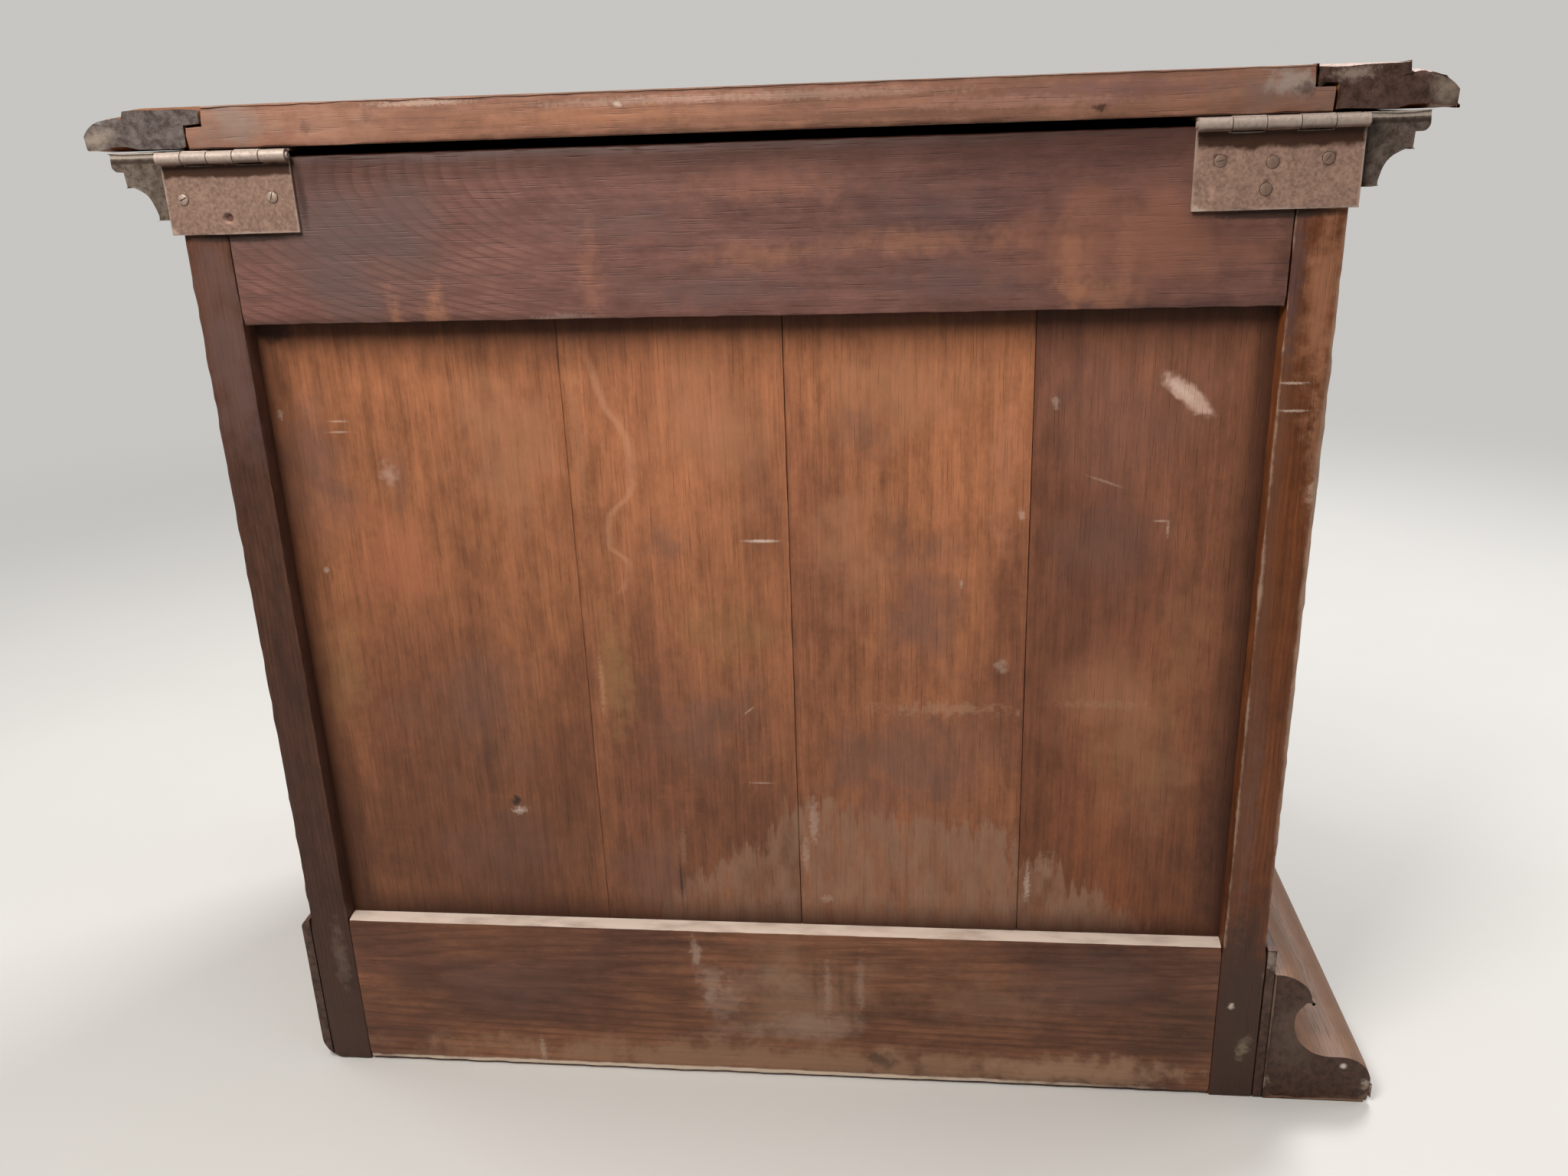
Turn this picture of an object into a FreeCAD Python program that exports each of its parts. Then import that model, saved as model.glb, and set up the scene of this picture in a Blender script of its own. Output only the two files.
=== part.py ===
"""Mule chest: a panelled oak chest with a hinged lid over two drawers.

The frame has +Z up and the front facing -Y. The origin is on the floor, in the middle of the plan.
Left is -X and right is +X, as seen from the front.
"""
import FreeCAD, Part
import Sketcher
import math
import os

# Driving dimensions in millimetres
SIZES = {
    # Case
    "case_width": 880.0,
    "case_depth": 470.0,
    "case_height": 846.0,
    "front_post_width": 70.0,
    "front_post_depth": 60.0,
    "back_post_width": 39.0,
    "back_post_depth": 66.0,
    "rail_thickness": 34.0,
    "rail_lift": 2.0,
    "top_rail_height": 128.0,
    "bottom_rail_top": 162.0,
    "drawer_rail_height": 48.0,
    "drawer_opening_height": 176.0,
    "muntin_width": 70.0,
    # Joints of the frame
    "tenon_length": 25.0,
    "tenon_shoulder": 12.0,
    "stub_tenon_length": 18.0,
    "groove_setback": 16.0,
    "groove_width": 10.0,
    "groove_depth": 9.0,
    "groove_room": 1.0,
    "peg_diameter": 8.0,
    "peg_length": 30.0,
    "peg_proud": 0.8,
    # Back boards
    "board_lap": 10.0,
    "board_gap": 0.8,
    # Fielded panels
    "bevel_width": 44.0,
    "bevel_rise": 6.0,
    "field_step": 3.0,
    "panel_play": 0.5,
    # Chest floor
    "floor_lift": 14.0,
    "floor_thickness": 14.0,
    "floor_groove_depth": 8.0,
    "floor_gap": 0.5,
    "ledger_depth": 30.0,
    "ledger_height": 40.0,
    # Drawer runners
    "runner_height": 30.0,
    "runner_ledge": 30.0,
    "guide_height": 28.0,
    # Drawers
    "drawer_back_room": 66.0,
    "drawer_play": 1.5,
    "drawer_running_gap": 0.3,
    "drawer_front_thickness": 24.0,
    "drawer_front_proud": 4.0,
    "drawer_front_round": 4.5,
    "drawer_side_thickness": 10.0,
    "drawer_side_drop": 8.0,
    "drawer_back_thickness": 10.0,
    "drawer_back_drop": 12.0,
    "drawer_bottom_thickness": 8.0,
    "drawer_bottom_lift": 8.0,
    "drawer_groove_depth": 5.0,
    "drawer_groove_room": 0.5,
    "tail_length": 14.0,
    "tail_root_width": 20.0,
    "tail_flare": 4.0,
    # Turned knobs
    "knob_diameter": 42.0,
    "knob_projection": 36.0,
    "knob_collar_diameter": 27.0,
    "knob_collar_height": 4.0,
    "knob_rim_height": 24.0,
    "knob_neck_radius": 15.0,
    "knob_shank_diameter": 14.0,
    "knob_shank_room": 0.1,
    # Cornice under the lid
    "cornice_height": 51.0,
    "cornice_rise": 5.8,
    "cornice_projection": 48.0,
    "cornice_foot_width": 17.0,
    "cornice_foot_height": 4.0,
    "cornice_cove_radius": 21.0,
    "cornice_fascia_height": 11.0,
    "cornice_step_width": 5.0,
    "cornice_round_height": 7.0,
    # Plinth
    "ground_thickness": 9.0,
    "ground_height": 160.0,
    "plinth_projection": 95.0,
    "plinth_height": 135.0,
    "plinth_top_ledge": 3.0,
    "plinth_bead_width": 33.0,
    "plinth_bead_drop": 27.0,
    "plinth_bead_edge": 4.0,
    "plinth_quirk_width": 6.0,
    "plinth_cove_radius": 34.0,
    "plinth_shelf_width": 8.0,
    "plinth_torus_radius": 29.0,
    "plinth_torus_base": 20.0,
    "plinth_foot_round": 6.0,
    # Lid
    "lid_thickness": 32.0,
    "lid_seat_gap": 0.2,
    "lid_overhang": 64.0,
    "lid_back_overhang": 3.0,
    "lid_cleat_width": 98.0,
    "lid_tongue_length": 14.0,
    "lid_tongue_thickness": 17.0,
    "lid_fillet_drop": 5.0,
    "lid_fillet_width": 6.0,
    "lid_thumb_width": 27.0,
    "lid_thumb_drop": 14.0,
    # Hinges
    "hinge_thickness": 3.0,
    "hinge_barrel_diameter": 10.0,
    "hinge_barrel_clearance": 0.4,
    "hinge_knuckle_gap": 0.3,
    "hinge_pin_diameter": 4.9,
    "hinge_pin_clearance": 0.05,
    "hinge_pin_proud": 1.0,
    "right_hinge_length": 104.0,
    "right_hinge_leaf": 57.0,
    "right_hinge_past_case": 5.0,
    "left_hinge_length": 116.0,
    "left_hinge_leaf": 59.0,
    "left_hinge_past_case": 4.0,
    # Hinge screws
    "screw_head_diameter": 9.0,
    "screw_head_depth": 2.6,
    "screw_shank_diameter": 4.5,
    "screw_length": 20.0,
    "screw_slot_width": 1.2,
    "screw_slot_depth": 0.9,
    # Run of a cutter past the face that it cuts
    "overrun": 5.0,
}

SIDES = {"left": -1, "right": 1}
FLOOR_BOARDS = 4
KNUCKLES = 5

# Joints of the back boards across the back opening, from the chest's right
BACK_JOINT_SHARES = (0.0, 0.31, 0.535, 0.778, 1.0)
LAP_SHARE = 0.5
# Dovetail middles up a drawer's side, and knobs across a drawer's front
TAIL_SHARES = (0.2, 0.5, 0.8)
KNOB_SHARES = (0.22, 0.78)
# Pegs up the front and side top rails
FRONT_PEG_SHARES = (0.2, 0.5)
SIDE_PEG_SHARE = 0.35
# Screw holes of each leaf: along it from its outer end, and down it from the pin
HINGE_HOLE_SHARES = {
    "right": ((0.135, 0.53), (0.827, 0.53), (0.46, 0.79)),
    "left": ((0.207, 0.42), (0.534, 0.45), (0.845, 0.42), (0.56, 0.76)),
}
# Holes of the case leaves that have lost their screws
BARE_HOLES = {"right": (2,), "left": ()}


class Size:
    """A length held as a number and as an expression on the sheet of sizes."""

    def __init__(self, value, text):
        self.value = value
        self.text = text

    def __add__(self, other):
        other = as_size(other)
        return Size(self.value + other.value, f"({self.text} + {other.text})")

    def __radd__(self, other):
        return as_size(other) + self

    def __sub__(self, other):
        other = as_size(other)
        return Size(self.value - other.value, f"({self.text} - {other.text})")

    def __rsub__(self, other):
        return as_size(other) - self

    def __mul__(self, other):
        other = as_size(other)
        return Size(self.value * other.value, f"({self.text} * {other.text})")

    def __rmul__(self, other):
        return as_size(other) * self

    def __truediv__(self, other):
        other = as_size(other)
        return Size(self.value / other.value, f"({self.text} / {other.text})")

    def __neg__(self):
        return 0 - self


def as_size(item):
    """A plain number as a size."""
    if isinstance(item, Size):
        return item
    return Size(float(item), f"({item})")


document = FreeCAD.newDocument("mule_chest")
sheet = document.addObject("Spreadsheet::Sheet", "sizes")
for row, (alias, number) in enumerate(SIZES.items(), start=1):
    sheet.set(f"A{row}", alias)
    sheet.set(f"B{row}", str(number))
    sheet.setAlias(f"B{row}", alias)
document.recompute()
dim = {alias: Size(sheet.get(alias), f"sizes.{alias}") for alias in SIZES}
pieces = []


def keep(thing, label):
    """Names a finished piece."""
    thing.Label = label
    pieces.append(thing)
    return thing


def place(thing, spot, axis=(0, 0, 1), degrees=0.0):
    """Puts a thing at a spot of three sizes, turned about an axis."""
    thing.Placement = FreeCAD.Placement(
        FreeCAD.Vector(*(as_size(item).value for item in spot)),
        FreeCAD.Rotation(FreeCAD.Vector(*axis), degrees),
    )
    for letter, item in zip("xyz", spot):
        thing.setExpression(f"Placement.Base.{letter}", as_size(item).text)
    return thing


def block(name, x_span, y_span, z_span):
    """A square-edged block between three pairs of sizes."""
    thing = document.addObject("Part::Box", name)
    for edge, (low, high) in zip(("Length", "Width", "Height"), (x_span, y_span, z_span)):
        thing.setExpression(edge, as_size(high - low).text)
    return place(thing, (x_span[0], y_span[0], z_span[0]))


def rod(name, radius, length, spot, axis=(0, 0, 1), degrees=0.0):
    """A round rod that starts at a spot and runs along the turned Z axis."""
    thing = document.addObject("Part::Cylinder", name)
    thing.setExpression("Radius", radius.text)
    thing.setExpression("Height", length.text)
    return place(thing, spot, axis, degrees)


def taper(name, x_spans, y_span, z_spans):
    """A block whose X and Z spans change from its low Y face to its high Y face."""
    thing = document.addObject("Part::Wedge", name)
    ends = {"Ymin": y_span[0], "Ymax": y_span[1]}
    for mark, x_span, z_span in zip(("", "2"), x_spans, z_spans):
        ends[f"X{mark}min"], ends[f"X{mark}max"] = x_span
        ends[f"Z{mark}min"], ends[f"Z{mark}max"] = z_span
    for edge, item in ends.items():
        setattr(thing, edge, as_size(item).value)
    for edge, item in ends.items():
        thing.setExpression(edge, as_size(item).text)
    return thing


def fuse(name, shapes):
    """Several shapes made one."""
    if len(shapes) == 1:
        return shapes[0]
    thing = document.addObject("Part::MultiFuse", name)
    thing.Shapes = shapes
    return thing


def cut(name, base, tools):
    """A base with every tool taken out of it."""
    if not tools:
        return base
    thing = document.addObject("Part::Cut", name)
    thing.Base = base
    thing.Tool = fuse(f"{name}_tools", tools)
    return thing


def group(name, shapes):
    """Like pieces that stay separate in one node."""
    thing = document.addObject("Part::Compound", name)
    thing.Links = shapes
    return thing


def plane_of(body, role):
    """One of a body's own origin planes."""
    return next(item for item in body.Origin.OriginFeatures if item.Role == role)


def hold_point(sketch, segment, end, spot, name):
    """Fixes a point of an outline at its two sizes."""
    axes = (("DistanceX", -2, "across"), ("DistanceY", -1, "up"))
    for item, (kind, axis, word) in zip(spot, axes):
        if not isinstance(item, Size):
            sketch.addConstraint(Sketcher.Constraint("PointOnObject", segment, end, axis))
            continue
        index = sketch.addConstraint(Sketcher.Constraint(kind, -1, 1, segment, end, item.value))
        sketch.renameConstraint(index, f"{word}_{name}")
        sketch.setExpression(f"Constraints.{word}_{name}", item.text)


def arc_between(start, finish, radius):
    """The short arc between two points, and whether it runs from finish to start."""
    chord = finish - start
    lift = math.sqrt(radius ** 2 - (chord.Length / 2) ** 2)
    left = FreeCAD.Vector(-chord.y, chord.x, 0).normalize()
    turns_left = radius > 0
    centre = (start + finish) / 2 + left * (lift if turns_left else -lift)
    circle = Part.Circle(centre, FreeCAD.Vector(0, 0, 1), abs(radius))
    first, last = (start, finish) if turns_left else (finish, start)
    angles = [math.atan2(point.y - centre.y, point.x - centre.x) for point in (first, last)]
    return Part.ArcOfCircle(circle, *angles), not turns_left


def outline(body, name, role, points):
    """A closed outline on a body's own plane, whose sizes are not negative.

    Each point is its two sizes and, where an arc leads to it, the arc's radius and its turn:
    1 where the arc bears left, -1 where it bears right.
    """
    sketch = body.newObject("Sketcher::SketchObject", name)
    sketch.AttachmentSupport = (plane_of(body, role), [""])
    sketch.MapMode = "FlatFace"
    spots = [FreeCAD.Vector(as_size(point[0]).value, as_size(point[1]).value, 0) for point in points]
    starts = []
    for number, point in enumerate(points):
        begin = spots[number - 1]
        if len(point) == 2:
            sketch.addGeometry(Part.LineSegment(begin, spots[number]), False)
            starts.append(1)
            continue
        arc, is_backward = arc_between(begin, spots[number], point[2].value * point[3])
        sketch.addGeometry(arc, False)
        starts.append(2 if is_backward else 1)
    for number, point in enumerate(points):
        following = (number + 1) % len(points)
        end = 3 - starts[number]
        joint = Sketcher.Constraint("Coincident", number, end, following, starts[following])
        sketch.addConstraint(joint)
        hold_point(sketch, number, end, point[:2], number)
        if len(point) > 2:
            index = sketch.addConstraint(Sketcher.Constraint("Radius", number, point[2].value))
            sketch.renameConstraint(index, f"radius_{number}")
            sketch.setExpression(f"Constraints.radius_{number}", point[2].text)
    return sketch


def thumb_radius(width, drop):
    """Radius of an arc that starts level and falls by drop over width."""
    return (width * width + drop * drop) / (2 * drop)


def prism(name, points, length):
    """An outline in the XZ plane, padded along +Y."""
    body = document.addObject("PartDesign::Body", name)
    sketch = outline(body, f"{name}_outline", "XZ_Plane", points)
    pad = body.newObject("PartDesign::Pad", f"{name}_pad")
    pad.Profile = sketch
    pad.Reversed = True
    pad.setExpression("Length", length.text)
    return body


def mitre(body, name, points):
    """Takes a corner off a body, all the way up."""
    sketch = outline(body, f"{name}_plan", "XY_Plane", points)
    pocket = body.newObject("PartDesign::Pocket", name)
    pocket.Profile = sketch
    pocket.SideType = "Symmetric"
    pocket.Type = "ThroughAll"


def moulding(label, points, spot, degrees, length, projection, mitred):
    """A run of moulding: its outline faces out along the turned +X, and it runs along the turned +Y.

    mitred names the ends that are cut to a mitre: "start", "end" or both.
    """
    body = prism(label, points, length)
    if "start" in mitred:
        mitre(body, f"{label}_start_mitre", ((0, 0), (projection, 0), (0, projection)))
    if "end" in mitred:
        tip = ((0, length), (0, length - projection), (projection, length))
        mitre(body, f"{label}_end_mitre", tip)
    return keep(place(body, spot, degrees=degrees), label)


def mirrored(side, inner, outer):
    """The X span between two distances from the middle, on one side."""
    if SIDES[side] > 0:
        return (inner, outer)
    return (-outer, -inner)


def cross(start, depth):
    """A span from a start along a depth."""
    return (start, start + depth)


# Main planes of the chest
half_width = dim["case_width"] / 2
barrel_reach = dim["hinge_barrel_diameter"] + dim["hinge_barrel_clearance"]
plinth_reach = dim["ground_thickness"] + dim["plinth_projection"]
back = (dim["case_depth"] + plinth_reach - barrel_reach) / 2
front = back - dim["case_depth"]
top = dim["case_height"]
front_inner = half_width - dim["front_post_width"]
back_inner = half_width - dim["back_post_width"]
side_inner = half_width - dim["rail_thickness"]
side_front = front + dim["front_post_depth"]
side_back = back - dim["back_post_depth"]
front_rail_back = front + dim["rail_thickness"]
back_rail_front = back - dim["rail_thickness"]
top_rail_low = top - dim["top_rail_height"]
bottom_rail_top = dim["bottom_rail_top"]
drawer_rail_low = bottom_rail_top + dim["drawer_opening_height"]
drawer_rail_top = drawer_rail_low + dim["drawer_rail_height"]
half_muntin = dim["muntin_width"] / 2
floor_low = drawer_rail_low + dim["floor_lift"]
floor_top = floor_low + dim["floor_thickness"]

# Grooves and tenons lie in one line, set back from the outside
front_groove = cross(front + dim["groove_setback"], dim["groove_width"])
back_groove = cross(back - dim["groove_setback"] - dim["groove_width"], dim["groove_width"])
side_groove_outer = half_width - dim["groove_setback"]
side_groove_inner = side_groove_outer - dim["groove_width"]
tongue = dim["groove_depth"] - dim["groove_room"]

mortises = {f"{where}_post_{side}": [] for where in ("front", "back") for side in SIDES}
peg_holes = {}
pegs = []


def add_peg(name, spot, axis, degrees, owners):
    """A peg, and the hole that it leaves in each piece it holds."""
    length = dim["peg_length"] + dim["peg_proud"]
    peg = rod(f"peg_{name}", dim["peg_diameter"] / 2, length, spot, axis, degrees)
    pegs.append(peg)
    for owner in owners:
        peg_holes.setdefault(owner, []).append(peg)


def place_pegs():
    """Pegs through the front and side tenons, driven from outside."""
    face = front - dim["peg_proud"]
    along_y = ((1, 0, 0), -90.0)
    for side, sign in SIDES.items():
        post = f"front_post_{side}"
        middle = sign * (front_inner + dim["tenon_length"] / 2)
        for number, share in enumerate(FRONT_PEG_SHARES, start=1):
            spot = (middle, face, top_rail_low + share * dim["top_rail_height"])
            add_peg(f"front_top_{side}_{number}", spot, *along_y, (post, "front_top_rail"))
        spot = (middle, face, drawer_rail_low + dim["drawer_rail_height"] / 2)
        add_peg(f"front_drawer_{side}", spot, *along_y, (post, "front_drawer_rail"))
        outside = sign * (half_width + dim["peg_proud"])
        height = top_rail_low + SIDE_PEG_SHARE * dim["top_rail_height"]
        ends = {
            "front": side_front - dim["tenon_length"] / 2,
            "back": side_back + dim["tenon_length"] / 2,
        }
        for where, depth in ends.items():
            owners = (f"{where}_post_{side}", f"side_top_rail_{side}")
            add_peg(f"side_{where}_{side}", (outside, depth, height), (0, 1, 0), -90.0 * sign, owners)
    half_stub = dim["stub_tenon_length"] / 2
    for rail, height in (("front_top_rail", top_rail_low + half_stub),
                         ("front_drawer_rail", drawer_rail_top - half_stub)):
        add_peg(f"muntin_{rail}", (0, face, height), *along_y, (rail, "front_muntin"))


place_pegs()


def tenoned(label, bar, tenons, hollows=()):
    """A bar with its tenons, less its grooves and peg holes."""
    solid = fuse(f"{label}_tenoned", [bar, *tenons])
    return cut(f"{label}_cut", solid, [*hollows, *peg_holes.get(label, [])])


def cross_rail(label, where, z_span, hollows=()):
    """A rail of the front or the back, with a tenon into each post."""
    inner = front_inner if where == "front" else back_inner
    depth = (front, front_rail_back) if where == "front" else (back_rail_front, back)
    groove = front_groove if where == "front" else back_groove
    bar = block(f"{label}_bar", (-inner, inner), depth, z_span)
    height = (z_span[0] + dim["tenon_shoulder"], z_span[1] - dim["tenon_shoulder"])
    tenons = []
    for side in SIDES:
        reach = mirrored(side, inner, inner + dim["tenon_length"])
        tenon = block(f"{label}_tenon_{side}", reach, groove, height)
        mortises[f"{where}_post_{side}"].append(tenon)
        tenons.append(tenon)
    return tenoned(label, bar, tenons, hollows)


def side_rail(side, label, z_span, groove_z):
    """A rail of one side, with a tenon into the front and back posts."""
    bar = block(f"{label}_bar", mirrored(side, side_inner, half_width), (side_front, side_back), z_span)
    height = (z_span[0] + dim["tenon_shoulder"], z_span[1] - dim["tenon_shoulder"])
    across = mirrored(side, side_groove_inner, side_groove_outer)
    reaches = {
        "front": (side_front - dim["tenon_length"], side_front),
        "back": (side_back, side_back + dim["tenon_length"]),
    }
    tenons = []
    for where, reach in reaches.items():
        tenon = block(f"{label}_tenon_{where}", across, reach, height)
        mortises[f"{where}_post_{side}"].append(tenon)
        tenons.append(tenon)
    groove = block(f"{label}_groove", across, (side_front, side_back), groove_z)
    keep(tenoned(label, bar, tenons, [groove]), label)


def above(height):
    """Span of a groove that is cut down from an upper edge."""
    return (height - dim["groove_depth"], height)


def below(height):
    """Span of a groove that is cut up from a lower edge."""
    return (height, height + dim["groove_depth"])


def hinge_frame(side):
    """A hinge's outer end, length and leaf height, from the middle outwards."""
    end = half_width + dim[f"{side}_hinge_past_case"]
    return end, dim[f"{side}_hinge_length"], dim[f"{side}_hinge_leaf"]


# Hinge axis, clear of the case's back and of the lid's underside
barrel_radius = dim["hinge_barrel_diameter"] / 2
barrel_offset = barrel_radius + dim["hinge_barrel_clearance"]
lid_low = top + dim["cornice_rise"] + dim["lid_seat_gap"]
lid_top = lid_low + dim["lid_thickness"]
axis_y = back + barrel_offset
axis_z = lid_low - barrel_offset


def screw(name, spot, axis, degrees):
    """A slotted countersunk screw with its head at the spot, driven along the turned Z axis."""
    head = document.addObject("Part::Cone", f"{name}_head")
    head.setExpression("Radius1", (dim["screw_head_diameter"] / 2).text)
    head.setExpression("Radius2", (dim["screw_shank_diameter"] / 2).text)
    head.setExpression("Height", dim["screw_head_depth"].text)
    shank = rod(f"{name}_shank", dim["screw_shank_diameter"] / 2, dim["screw_length"], (0, 0, 0))
    half_slot = dim["screw_slot_width"] / 2
    half_head = dim["screw_head_diameter"] / 2
    slot = block(f"{name}_slot", (-half_head, half_head), (-half_slot, half_slot),
                 (-dim["screw_slot_depth"], dim["screw_slot_depth"]))
    blank = fuse(f"{name}_blank", [head, shank])
    hole = document.addObject("Part::Compound", f"{name}_hole")
    hole.Links = [blank]
    place(hole, spot, axis, degrees)
    return place(cut(name, blank, [slot]), spot, axis, degrees), hole


def hinge_screws(side):
    """Screws and screw holes of one hinge: case screws, case holes, lid screws, lid holes."""
    end, length, leaf = hinge_frame(side)
    made = {"case_screws": [], "case_holes": [], "lid_screws": [], "lid_holes": []}
    for number, (along_share, down_share) in enumerate(HINGE_HOLE_SHARES[side]):
        across = SIDES[side] * (end - along_share * length)
        case_spot = (across, back + dim["hinge_thickness"], axis_z - down_share * leaf)
        solid, hole = screw(f"case_screw_{side}_{number}", case_spot, (1, 0, 0), 90.0)
        made["case_holes"].append(hole)
        if number not in BARE_HOLES[side]:
            made["case_screws"].append(solid)
        lid_spot = (across, axis_y - down_share * leaf, lid_low - dim["hinge_thickness"])
        solid, hole = screw(f"lid_screw_{side}_{number}", lid_spot, (0, 0, 1), 0.0)
        made["lid_holes"].append(hole)
        made["lid_screws"].append(solid)
    return made


screws = {side: hinge_screws(side) for side in SIDES}
all_case_holes = [hole for made in screws.values() for hole in made["case_holes"]]
all_lid_holes = [hole for made in screws.values() for hole in made["lid_holes"]]


def make_front_frame():
    """Front rails, muntin, divider and fielded panels."""
    stub = dim["stub_tenon_length"]
    shoulder = half_muntin - dim["tenon_shoulder"]
    tenon_spans = {
        "muntin_top": cross(top_rail_low, stub),
        "muntin_foot": (drawer_rail_top - stub, drawer_rail_top),
        "divider_top": (drawer_rail_low, drawer_rail_low + stub),
        "divider_foot": (bottom_rail_top - stub, bottom_rail_top),
    }
    stubs = {name: block(f"{name}_tenon", (-shoulder, shoulder), front_groove, span)
             for name, span in tenon_spans.items()}
    opening = (-front_inner, front_inner)
    top_groove = block("front_top_rail_groove", opening, front_groove, below(top_rail_low))
    drawer_groove = block("front_drawer_rail_groove", opening, front_groove, above(drawer_rail_top))
    floor_depth = (front_rail_back - dim["floor_groove_depth"], front_rail_back)
    floor_groove = block("front_floor_groove", opening, floor_depth, (floor_low, floor_top))
    keep(cross_rail("front_top_rail", "front", (top_rail_low, top), [top_groove, stubs["muntin_top"]]),
         "front_top_rail")
    keep(cross_rail("front_drawer_rail", "front", (drawer_rail_low, drawer_rail_top),
                    [drawer_groove, floor_groove, stubs["muntin_foot"], stubs["divider_top"]]),
         "front_drawer_rail")
    keep(cross_rail("front_bottom_rail", "front", (dim["rail_lift"], bottom_rail_top),
                    [stubs["divider_foot"]]),
         "front_bottom_rail")
    width = (-half_muntin, half_muntin)
    depth = (front, front_rail_back)
    bar = block("front_muntin_bar", width, depth, (drawer_rail_top, top_rail_low))
    grooves = [block(f"front_muntin_groove_{side}",
                     mirrored(side, half_muntin - dim["groove_depth"], half_muntin),
                     front_groove, (drawer_rail_top, top_rail_low)) for side in SIDES]
    keep(tenoned("front_muntin", bar, [stubs["muntin_top"], stubs["muntin_foot"]], grooves),
         "front_muntin")
    bar = block("drawer_divider_bar", width, depth, (bottom_rail_top, drawer_rail_low))
    keep(tenoned("drawer_divider", bar, [stubs["divider_top"], stubs["divider_foot"]]),
         "drawer_divider")
    middle = (front_inner + half_muntin) / 2
    for side, sign in SIDES.items():
        fielded_panel(f"front_panel_{side}", front_inner - half_muntin, top_rail_low - drawer_rail_top,
                      (sign * middle, front_groove[1], drawer_rail_top), 0.0)


def fielded_panel(label, width, height, spot, degrees):
    """A panel with a tongue all round and a raised field, facing the turned -Y, middle of its foot at the spot."""
    half = width / 2
    thickness = dim["groove_width"]
    plate = block(f"{label}_plate", (-half - tongue, half + tongue), (-thickness, 0),
                  (-tongue, height + tongue))
    play = dim["panel_play"]
    inset = play + dim["bevel_width"]
    field = ((inset - half, half - inset), (inset, height - inset))
    rim = ((play - half, half - play), (play, height - play))
    rise = thickness + dim["bevel_rise"]
    slope = taper(f"{label}_bevel", (field[0], rim[0]), (-rise, -thickness), (field[1], rim[1]))
    raised = block(f"{label}_field", field[0], (-rise - dim["field_step"], -rise), field[1])
    keep(place(fuse(label, [plate, slope, raised]), spot, degrees=degrees), label)


def make_back_frame():
    """Back rails, and boards lapped side by side in the grooves."""
    opening = (-back_inner, back_inner)
    top_groove = block("back_top_rail_groove", opening, back_groove, below(top_rail_low))
    foot_groove = block("back_bottom_rail_groove", opening, back_groove, above(bottom_rail_top))
    keep(cross_rail("back_top_rail", "back", (top_rail_low, top), [top_groove, *all_case_holes]),
         "back_top_rail")
    keep(cross_rail("back_bottom_rail", "back", (dim["rail_lift"], bottom_rail_top), [foot_groove]),
         "back_bottom_rail")
    height = (bottom_rail_top - tongue, top_rail_low + tongue)
    lap_line = back_groove[0] + LAP_SHARE * dim["groove_width"]
    half_gap = dim["board_gap"] / 2
    last = len(BACK_JOINT_SHARES) - 2
    for number in range(last + 1):
        edges = [back_inner - share * 2 * back_inner for share in BACK_JOINT_SHARES[number:number + 2]]
        outer = edges[0] + tongue if number == 0 else edges[0] - half_gap
        inner = edges[1] - tongue if number == last else edges[1] + half_gap
        label = f"back_board_{number + 1}"
        board = block(f"{label}_board", (inner, outer), back_groove, height)
        shapes = [board]
        rebates = []
        if number < last:
            lap = (inner - dim["board_lap"], inner)
            shapes.append(block(f"{label}_lap", lap, (back_groove[0], lap_line), height))
        if number > 0:
            rebate = (outer - dim["board_lap"] - 2 * half_gap, outer + dim["overrun"])
            rebates.append(block(f"{label}_rebate", rebate,
                                 (back_groove[0] - dim["overrun"], lap_line), height))
        keep(cut(f"{label}_cut", fuse(f"{label}_lapped", shapes), rebates), label)


def make_sides():
    """Side rails and panels."""
    middle = (side_front + side_back) / 2
    for side, sign in SIDES.items():
        side_rail(side, f"side_top_rail_{side}", (top_rail_low, top), below(top_rail_low))
        side_rail(side, f"side_bottom_rail_{side}", (dim["rail_lift"], bottom_rail_top),
                  above(bottom_rail_top))
        fielded_panel(f"side_panel_{side}", side_back - side_front, top_rail_low - bottom_rail_top,
                      (sign * side_groove_inner, middle, bottom_rail_top), 90.0 * sign)


def make_posts():
    """Corner posts, with the mortises, grooves and holes that the other pieces need."""
    groove_top = top_rail_low + dim["groove_depth"]
    height = (bottom_rail_top - dim["groove_depth"], groove_top)
    front_height = (drawer_rail_top - dim["groove_depth"], groove_top)
    for side in SIDES:
        across = mirrored(side, side_groove_inner, side_groove_outer)
        side_grooves = {
            "front": (side_front - dim["groove_depth"], side_front),
            "back": (side_back, side_back + dim["groove_depth"]),
        }
        faces = {
            "front": (front_inner, (front, side_front), front_groove, front_height, []),
            "back": (back_inner, (side_back, back), back_groove, height, screws[side]["case_holes"]),
        }
        for where, (inner, depth, groove, groove_height, holes) in faces.items():
            label = f"{where}_post_{side}"
            bar = block(f"{label}_bar", mirrored(side, inner, half_width), depth, (0, top))
            grooves = [
                block(f"{label}_side_groove", across, side_grooves[where], height),
                block(f"{label}_groove", mirrored(side, inner, inner + dim["groove_depth"]),
                      groove, groove_height),
            ]
            hollows = [*mortises[label], *grooves, *holes, *peg_holes.get(label, [])]
            keep(cut(f"{label}_cut", bar, hollows), label)


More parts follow.
